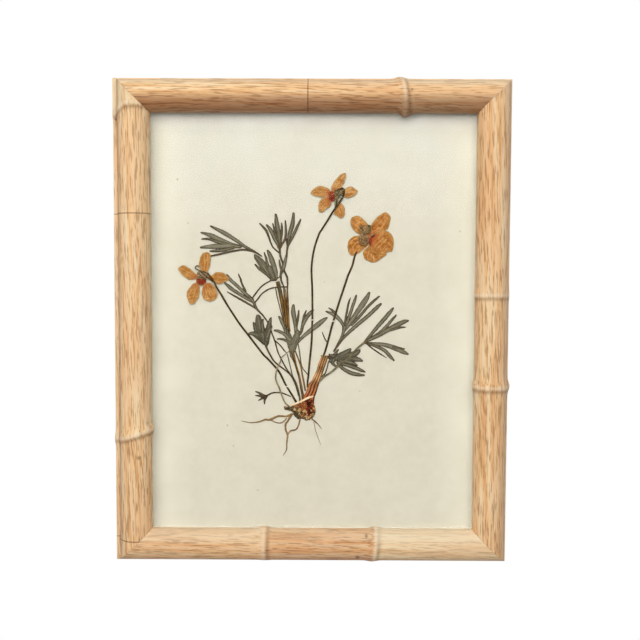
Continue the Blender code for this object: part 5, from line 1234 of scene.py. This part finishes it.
HEART_LEVEL = 6.65
rose_skin = petal_skin("grey_rose_calyx", "7A6248", "B09876", "4A3822", "5E5034")
olive_skin = petal_skin("olive_calyx", "5E5230", "8C7C54", "3A301A", "463C22")
bulb_skin = petal_skin("brown_flower_bulb", "70502E", "A08258", "4A3018", "8A6C44")
heart_skin = petal_skin("red_brown_heart", "7A2410", "9C4426", "46100A", "6A3018")
dark_heart = petal_skin("dark_red_heart", "4A0E06", "6A2010", "2A0804", "44180E")
centres = {
    "flower_stem_left": [
        ("calyx", rose_skin, [(-96.4, 40.8), (-94.4, 43.1), (-90.4, 42.7), (-87.8, 40.7), (-88.1, 37.8),
                              (-89.9, 36), (-93.4, 35.7), (-96.4, 37.3)], 0.35),
        ("heart", heart_skin, [(-96.4, 36.3), (-92.9, 36.9), (-89.2, 36), (-89.4, 33), (-92.2, 31.2),
                               (-94.8, 31.4), (-97, 33.3)], 0.35),
        ("dark_spot_1", dark_heart, oval(-94.3, 34.1, 2.2, 1.9), 0.5),
        ("dark_spot_2", dark_heart, oval(-90.4, 35.4, 2.2, 1.6), 0.5),
        ("dark_spot_3", dark_heart, oval(-92, 32.9, 1.9, 1.5), 0.5),
        ("rose_spot_1", rose_skin, oval(-93.7, 36.7, 2.2, 1.1, 10), 0.55),
        ("rose_spot_2", rose_skin, oval(-96.2, 32.7, 1.3, 1.8), 0.5),
        ("rose_spot_3", rose_skin, oval(-93, 31.2, 1.8, 1.1), 0.5)],
    "flower_stem_middle": [
        ("calyx", olive_skin, [(17.2, 109.2), (20.3, 110.4), (23.7, 110.4), (24.4, 107.4), (22.2, 105.3),
                               (20.8, 102.9),
                               (19.8, 99.6), (18.5, 95.6), (17.5, 98.5), (17.3, 102.9), (16.6, 105.8)],
         0.35),
        ("rose_spot_1", rose_skin, oval(20, 107.8, 2.6, 1.6, -20), 0.5),
        ("rose_spot_2", rose_skin, oval(19, 104.1, 1.6, 2.2), 0.5),
        ("rose_spot_3", rose_skin, oval(22.6, 108.4, 1.5, 1.8), 0.5),
        ("heart", heart_skin, [(13.1, 107.8), (15.4, 109), (17.7, 107.4), (17.7, 103.9), (16.9, 101.1),
                               (14.5, 100.8), (13.1, 102.9), (12.8, 105.8)], 0.45),
        ("dark_spot", dark_heart, oval(14.7, 103.5, 2.2, 3), 0.6),
        ("rose_spot_4", rose_skin, oval(16, 106.7, 1.1, 2), 0.65)],
    "flower_stem_right": [
        ("upper_bulb", bulb_skin, oval(41.9, 76.9, 7.8, 9.6, -25), 0.6),
        ("olive_bulb", olive_skin, oval(45.7, 78, 3.6, 7.4, -12), 0.55),
        ("lower_bulb", bulb_skin, oval(41.8, 68.6, 9, 8.6), 0.6),
        ("dark_spot_1", dark_heart, oval(42, 66.5, 1.7, 1.4), 0.8),
        ("dark_spot_2", dark_heart, oval(44.1, 68.4, 1.6, 1.6), 0.8),
        ("rose_spot_1", rose_skin, oval(44.6, 66.6, 1.5, 1.3), 0.8),
        ("pale_rim", rose_skin, [(37.5, 70.9), (39.2, 72.9), (42.4, 73.5), (45.4, 71.9), (46.4, 68.8),
                                 (45.4, 68.6), (44.4, 70.9), (42, 72.3), (39.8, 71.7), (38.3, 70.1)], 0.7),
        ("heart", heart_skin, [(45.4, 70.3), (47.4, 72.1), (50.7, 73.7), (51, 72.3), (49, 70.2), (48.2, 67),
                               (47.8, 63.8), (46.4, 65.6), (46, 68.2)], 0.5),
        ("dark_streak", dark_heart, [(46.2, 69.9), (48, 71.7), (50.7, 73.3), (51, 72.3), (48.6, 70.5),
                                     (46.6, 69)], 0.7),
        ("rose_ridge", rose_skin, [(46.4, 71.5), (48.8, 73.5), (51.1, 74.5), (51.1, 73.7), (49.2, 72.5),
                                   (47, 70.9)], 0.7)],
}
for group, (node, parts) in enumerate(centres.items()):
    for number, (title, skin, points, rise) in enumerate(parts):
        lump(node.replace("stem", title), node, skin, points, HEART_LEVEL, rise,
             300 + 20 * group + number)


# Leaf stalks, sheath and crown
# The leaf stalks run down side by side in flat brown strands, and a broad red-brown sheath joins
# them on the right. All meet in the crown, the lumpy stock from which the roots grow.

bundle_fibre = dry_fibre("brown_leaf_stalk", "563C18", "8A6532", "34220C")
pale_fibre = dry_fibre("pale_leaf_stalk", "6A4C22", "9A763E", "4A3214")
shadow_fibre = dry_fibre("dark_leaf_stalk", "2A1E0E", "46341A", "1A1006")
olive_fibre = dry_fibre("olive_leaf_stalk", "423A22", "665A3A", "2C2614")
golden_fibre = dry_fibre("golden_leaf_stalk", "5C4420", "8A6A3C", "3A2A10", "4A3618", 26, 40)
upper_strands = [
    [(-30.4, 34.1, 1.7), (-28.2, 26.6, 1.9), (-27.2, 21.8, 2), (-25.8, 15.1, 1.8), (-24.5, 7.2, 1.6),
     (-23.2, -0.2, 1.4)],
    [(-28, 31.6, 1.3), (-26.4, 24.7, 1.5), (-25, 17.8, 1.7), (-23.8, 9.8, 1.5), (-22.9, 2.8, 1.4),
     (-22, -4.2, 1.3)],
    [(-24.5, 29.7, 1.1), (-24, 23.7, 1.4), (-23.2, 17.8, 1.5), (-22.6, 10.8, 1.4), (-22, 3.8, 1.3),
     (-21.2, -4.2, 1.3)],
    [(-21.4, 28.7, 1), (-21.2, 21.8, 1.5), (-21, 13.4, 1.6), (-20.7, 6.6, 1.5), (-20.1, -2, 1.4),
     (-19.3, -7.6, 1.3)]]
stalks("leaf_stalk_bundle", "stalk_bundle", upper_strands, bundle_fibre, strands=2,
       strand_share=0.62, flatness=0.45, wander=0.5, seed=11, height=5.8)
stalks("pale_leaf_stalk", "stalk_bundle", [[(-24.8, 20.2, 0.7), (-23.5, 12.8, 1.1), (-22.6, 4.8, 0.9)],
                                           [(-22.2, 18.8, 0.6), (-21.7, 10.8, 0.8), (-21.5, 3.8, 0.6)]],
       pale_fibre, wander=0.4, seed=12, height=6.05)
stalks("olive_leaf_stalks", "stalk_bundle",
       [[(-31.2, 28.7, 0.9), (-29.9, 21.8, 0.9), (-27.8, 13.4, 0.9), (-26.2, 7.2, 0.9), (-24.1, 0.8, 0.9)],
        [(-28, 39.1, 1), (-26.8, 36.4, 1), (-25.1, 32.1, 1), (-24, 28.7, 0.9), (-23.8, 22.7, 0.7)],
        [(-12.3, -17.4, 0.9), (-11, -25.2, 0.9), (-9.7, -34.4, 0.9), (-8.1, -38.5, 0.8), (-5.9, -41.3, 0.8),
         (-3.9, -43.7, 0.8)],
        [(-21.3, -26.1, 0.8), (-19.7, -33.2, 0.8), (-18, -40.2, 0.9), (-16.9, -44.8, 1.3),
         (-14.5, -49.8, 1.7), (-12.3, -56.4, 1.7), (-10.9, -63.1, 1.6), (-10.6, -68.8, 1.5)]],
       olive_fibre, wander=0.4, seed=16, flatness=0.45)
stalks("olive_stub", "stalk_bundle",
       [[(-29.1, 34.6, 2), (-28.4, 31.4, 2.6), (-27.4, 27.6, 2.2), (-26.6, 22.4, 1.2)]],
       olive_fibre, strands=2, strand_share=0.6, flatness=0.3, seed=20, height=6.1)
stalks("dark_leaf_stalks", "stalk_bundle",
       [[(-29.6, 30.4, 0.5), (-27.8, 22, 0.6), (-26.2, 13, 0.6), (-24.3, 3, 0.6), (-23, -6, 0.6)],
        [(-26.4, 28, 0.5), (-25, 20, 0.6), (-23.6, 9, 0.7), (-22.4, -2, 0.6), (-21.6, -10, 0.5)],
        [(-22.9, 28, 0.5), (-22.2, 18, 0.6), (-21.7, 8, 0.6), (-20.8, -3, 0.6), (-20, -11, 0.5)],
        [(-18.2, -24, 0.5), (-15.4, -32, 0.6), (-13, -40, 0.5), (-11, -50, 0.5), (-9.6, -59, 0.5)]],
       shadow_fibre, wander=0.4, seed=21, height=6.25)
lower_strands = [
    [(-19.5, -22.6, 1.5), (-17.7, -28.1, 1.7), (-14.9, -33.6, 1.6), (-13.2, -39.1, 1.5), (-11.4, -45.5, 1.4),
     (-10, -53.4, 1.5), (-8.7, -60.2, 1.5), (-8.2, -68.8, 1.5)],
    [(-17, -22.6, 1.8), (-15.5, -29.1, 1.7), (-14.1, -35.1, 1.4), (-12.1, -41.1, 1.2), (-10.5, -47.8, 1.2),
     (-9, -55.2, 1.2), (-7.8, -61.2, 1.2)],
    [(-14.7, -23.6, 1), (-11.8, -30.9, 1.1), (-9.7, -37.5, 1.1), (-8.8, -43.2, 1.2), (-7.4, -49.9, 1.3),
     (-6.1, -57.2, 1.3)]]
stalks("leaf_stalk_lower", "stalk_bundle", lower_strands, golden_fibre, strands=2,
       strand_share=0.62, flatness=0.45, wander=0.5, seed=17)

# The sheath is a bunch of parallel fibres between its two edges, dark red at its foot
sheath_left = smooth([(7.8, -27.2), (4.7, -34.3), (3, -40.1), (-0.4, -48), (-3.4, -51.7), (-5, -57.7),
                      (-8, -62.7), (-8.6, -67.8)], 3)
sheath_right = smooth([(12.8, -27.2), (11.3, -33), (9.3, -38.4), (6.2, -47.1), (5, -51.1), (3.2, -57.1),
                       (1.6, -61.8), (0.8, -67.7)], 3)
sheath_fibres = [
    dry_fibre("red_brown_sheath", "80501F", "B0783F", "4D2C0E", "823C18", 20, 36),
    dry_fibre("dark_brown_sheath", "472E12", "6D4820", "2A1808", "501E0A", 20, 34),
    dry_fibre("tan_sheath", "8A6640", "BE9468", "634426", "A45C38", 20, 38)]
FIBRES = 9
for kind, fibre in enumerate(sheath_fibres):
    routes = []
    for number in range(FIBRES):
        if number * 2 % 3 == kind:
            share = (number + 0.5) / FIBRES
            spots = sheath_left + (sheath_right - sheath_left) * share
            wide = np.hypot(*(sheath_right - sheath_left).T) / FIBRES * 1.5
            routes.append([(x, z, width) for (x, z), width in zip(spots, wide)])
    stalks(fibre.name.replace("sheath", "leaf_sheath"), "leaf_sheath", routes, fibre,
           flatness=0.6,
           wander=0.9, wander_size=90, knobs=0.5, seed=13 + 10 * kind, height=5.95 + 0.08 * kind)
stalks("far_leaf_stalk", "leaf_far_right", [[(42.9, -16.2, 1.7), (36.8, -21.2, 1.5), (29.8, -29.3, 1.4),
                                             (21.7, -35.4, 1.4), (15.8, -40.7, 1.4), (8.9, -45.5, 1.3),
                                             (4.6, -50.3, 1)]],
       dry_fibre("pale_olive_stalk", "544C32", "857A58", "3A3420"), wander=0.2, seed=19,
       height=6.55)
stalks("sheath_side_stalk", "leaf_sheath",
       [[(13.1, -32, 1), (12.6, -35, 1.1), (11.8, -38.3, 1.1), (10.1, -42.6, 1.2),
                                             (6.2, -45.5, 1.1)]],
       olive_fibre, wander=0.4, seed=14, height=5.95)

# Knotted bark: each small lump has its own tone, from grey green through tan to dark red
bark, tree, shader = surface("knotted_bark", 0.85, 0.12)
place = add(tree, "ShaderNodeTexCoord").outputs["Object"]
kind, gap = (add(tree, "ShaderNodeAttribute", attribute_name=title).outputs["Fac"] for title in ("kind",
                                                                                                 "gap"))
flecks = add(tree, "ShaderNodeTexNoise", {"Vector": place, "Scale": 900.0, "Detail": 3.0, "Roughness": 0.7})
fleck_tone = add(tree, "ShaderNodeMath", {0: flecks, 1: 0.5, 2: kind}, operation="MULTIPLY_ADD")
bark_colour = add(tree, "ShaderNodeValToRGB", {"Fac": fleck_tone})
tones = ((0.25, "4A4630"), (0.42, "7A6440"), (0.54, "C09A68"), (0.64, "8A5628"), (0.78, "88421F"),
         (0.9, "6E200E"), (1.0, "3E1006"))
scale = bark_colour.color_ramp.elements
for position, hex_colour in tones[1:-1]:
    scale.new(position)
for element, (position, hex_colour) in zip(scale, tones):
    element.position = position
    element.color = linear(hex_colour)
# Painted shade in the gaps between the lumps
dress(tree, shader, coats(tree, bark_colour, [("24160A", gap, 0.0, 0.5, 0.9, 0.0)]), flecks, 0.7, 0.0003)

crown_outline = smooth([(-17, -69.6), (-13, -68.6), (-8.4, -67.2), (-6.6, -63.6), (-2.4, -62.8),
                        (0.8, -62.6), (1, -66),
                        (1.4, -69), (2.6, -73), (1.6, -78), (-1, -80.8), (-4.6, -82.2), (-8.6, -80.6),
                        (-12.4, -81),
                        (-15.6, -77.8), (-17.8, -74.6), (-20.6, -73.8), (-23.6, -73), (-24, -70.8),
                        (-21.6, -70.2), (-19, -71)], 5, closed=True)
x, z = sheet_grid(crown_outline, cell=0.17)
edge = outline_field(x, z, crown_outline) + 0.3 * waves(x, z, 2, 401)
depth = np.clip(-edge, 0, None)
LUMPS = 190
chance = np.random.default_rng(77)
first = np.full(x.shape, 9.0)
second = first.copy()
kinds = np.zeros(x.shape)
for number in range(LUMPS):
    lump_x, lump_z = chance.uniform(-25, 3.4), chance.uniform(-83, -62)
    # Paler and browner at the left, dark red under the strap, grey green along the lower right
    redness = 0.66 - 0.045 * (abs(lump_x + 2.6) - 3) - 0.04 * max(-70.5 - lump_z, 0)
    if lump_x > -3 and lump_z < -75 or lump_x < -19.5:
        redness = 0.0
    tone = np.clip(redness, 0.1, 0.75) + chance.uniform(-0.3, 0.24)
    off = np.hypot(x - lump_x, (z - lump_z) * 1.15)
    second = np.where(off < first, first, np.minimum(second, off))
    kinds = np.where(off < first, tone, kinds)
    first = np.minimum(first, off)
gap = np.clip(second - first, 0, 2)
bottom = np.full(x.shape, SHEET_FACE)
top = bottom + 1.35 * (1 - np.exp(-depth / 1.2)) + 0.5 * np.minimum(gap, 0.9) * (depth > 0.2)
piece = pressed("knotted_crown", x, z, edge, bottom, np.maximum(top, bottom + 0.02),
                {"kind": kinds, "gap": gap}, bark)
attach(piece, "root")
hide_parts("root_crown")


# Roots
# Grey-brown roots, dry and kinked, spread out below the crown. One thin pale shoot curls up on the left.

root_fibre = dry_fibre("dry_root", "6A5230", "9A7C4E", "48361C")
shoot_fibre = dry_fibre("pale_dry_shoot", "746648", "9C8C66", "544828")
root_routes = {
    "root_left": (root_fibre, [
        [(-59.9, -82.7, 0.4), (-51.7, -84, 0.8), (-45.7, -83.5, 1.1), (-39.8, -81.3, 1.5),
         (-35.7, -81.6, 1.8), (-28.7, -78.4, 1.6), (-22.2, -78.6, 1.6), (-17.9, -76.8, 1.7)],
        [(-36.5, -81.8, 0.9), (-34.6, -82.2, 0.9), (-30.5, -83.9, 0.9), (-25.7, -83.7, 0.9),
         (-21.6, -80, 1)]]),
    "root_down": (root_fibre, [
        [(-16.9, -76.4, 1.8), (-18.8, -79, 1.7), (-21, -82.8, 1.5), (-22.7, -84.9, 1.6), (-22.5, -89.8, 1.5),
         (-21, -94.6, 1.4), (-21.6, -101.8, 1.1), (-21.6, -105.9, 0.9), (-22.7, -108.9, 0.7),
         (-24.8, -112.4, 0.3)],
        [(-10.4, -80.3, 1.4), (-11.9, -86.3, 1.3), (-14, -89.8, 1.2), (-18.6, -91, 1.1),
         (-20.8, -94.2, 1)]]),
    "root_right": (root_fibre, [
        [(-1.1, -80.3, 1.3), (3.7, -84.4, 0.9), (7.9, -89.1, 0.3)],
        [(0.8, -83.4, 0.6), (3.8, -94.5, 0.4), (7.3, -102.9, 0.22)]]),
    "root_curl": (shoot_fibre, [
        [(-18, -20.4, 0.6), (-21, -24.8, 0.7), (-25.8, -28.8, 0.8), (-27.1, -32.8, 0.9), (-29.7, -38, 1),
         (-30.8, -42.4, 1.1), (-30.8, -48.2, 1.1), (-27.6, -55.6, 1.2), (-24.9, -63.5, 1.2),
         (-22.7, -67.5, 1.2), (-18.8, -70.7, 1.3)]]),
}
for seed, (node, (fibre, routes)) in enumerate(root_routes.items(), 21):
    stalks("kinked_" + node, node, routes, fibre, flatness=0.55, wander=1.2, wander_size=120,
           knobs=0.8, seed=seed)


# Stitches and strap
# Short stitches of pale linen thread tie the stems to the sheet, and a narrow strap of the same
# pale stuff lies across the crown.

linen = dry_fibre("pale_linen_thread", "CFC6B0", "E9E3D4", "A69C84")
strap_linen = dry_fibre("warm_linen_strap", "DCC096", "F2DCB8", "B08E60")
for name, x, z, reach in (("stitch_left", -21.4, -53.4, 2.6), ("stitch_middle", -0.5, 2.5, 2.2),
                          ("stitch_right", 17.1, 1.6, 2.3)):
    stalks("linen_" + name, name, [[(x - reach, z - 0.3, 0.6, 5.6), (x - reach * 0.6, z - 0.2, 0.6, 5.9),
                                    (x, z, 0.7, 6.3), (x + reach * 0.6, z + 0.1, 0.6, 5.9),
                                    (x + reach, z + 0.2, 0.6, 5.6)]],
           linen, strands=2, strand_share=0.6, flatness=0.8, seed=31)
stalks("pale_crown_strap", "crown_strap",
       [[(-19.4, -70.1, 0.7, 5.9), (-16.4, -68.7, 1, 6.5), (-13.9, -67.5, 1.2, 6.8), (-9.6, -65.7, 1.4, 6.9),
         (-4.3, -63, 1.5, 6.9), (-1, -61.9, 1.4, 6.8), (1, -61.2, 1.1, 6.2)]],
       strap_linen, strands=3, strand_share=0.44, flatness=0.5, wander=0.3, seed=32)


# Back
# A fibreboard back lies in the rebate behind the sheet, on thin card spacers round the glass.
# Flat zinc-plated points pressed into the rails hold it, and a sawtooth hanger is nailed to it.

board_face, tree, shader = surface("brown_fibreboard", 0.85)
place = add(tree, "ShaderNodeTexCoord").outputs["Object"]
# Pressed fibres about 1 mm across, and screen marks of the press 1.6 mm apart
fibres = add(tree, "ShaderNodeTexNoise", {"Vector": place, "Scale": 900.0, "Detail": 4.0, "Roughness": 0.7})
stains_and_painted_light = add(tree, "ShaderNodeTexNoise", {"Vector": place, "Scale": 22.0, "Detail": 2.0})
screen = add(tree, "ShaderNodeTexVoronoi", {"Vector": place, "Scale": 620.0})
board_colour = coats(tree, linear("6E5236"), (("A4825A", fibres, 0.3, 0.7, 0.0, 1.0),
                                              ("7C6040", stains_and_painted_light, 0.4, 0.7, 0.0, 0.35)))
dress(tree, shader, board_colour, screen, 0.4, 0.0002)
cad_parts["backing_board"].material_slots[0].material = board_face

card, tree, shader = surface("cream_card", 0.9)
place = add(tree, "ShaderNodeTexCoord").outputs["Object"]
plies = add(tree, "ShaderNodeTexNoise", {"Vector": place, "Scale": 700.0, "Detail": 3.0})
card_colour = coats(tree, linear("DCD5C3"), [("ECE7DA", plies, 0.35, 0.65, 0.0, 1.0)])
tree.links.new(card_colour, shader.inputs["Base Color"])
for side in ("top", "bottom", "left", "right"):
    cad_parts["spacer_" + side].material_slots[0].material = card

zinc, tree, shader = surface("zinc_plated_steel", 0.4)
place = add(tree, "ShaderNodeTexCoord").outputs["Object"]
# Zinc crystals about 1.5 mm across, each a slightly different grey
spangle = add(tree, "ShaderNodeTexVoronoi", {"Vector": place, "Scale": 650.0})
spangle_grey = add(tree, "ShaderNodeSeparateColor", {"Color": spangle.outputs["Color"]})
zinc_colour = coats(tree, linear("9FA2A4"), [("BFC2C3", spangle_grey, 0.0, 1.0, 0.0, 0.6)])
tree.links.new(zinc_colour, shader.inputs["Base Color"])
rough = add(tree, "ShaderNodeMapRange", {0: spangle_grey, 1: 0.0, 2: 1.0, 3: 0.3, 4: 0.48})
tree.links.new(rough.outputs[0], shader.inputs["Roughness"])
shader.inputs["Metallic"].default_value = 1.0
for name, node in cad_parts.items():
    if name.startswith(("framing_point", "hanger_")):
        node.material_slots[0].material = zinc
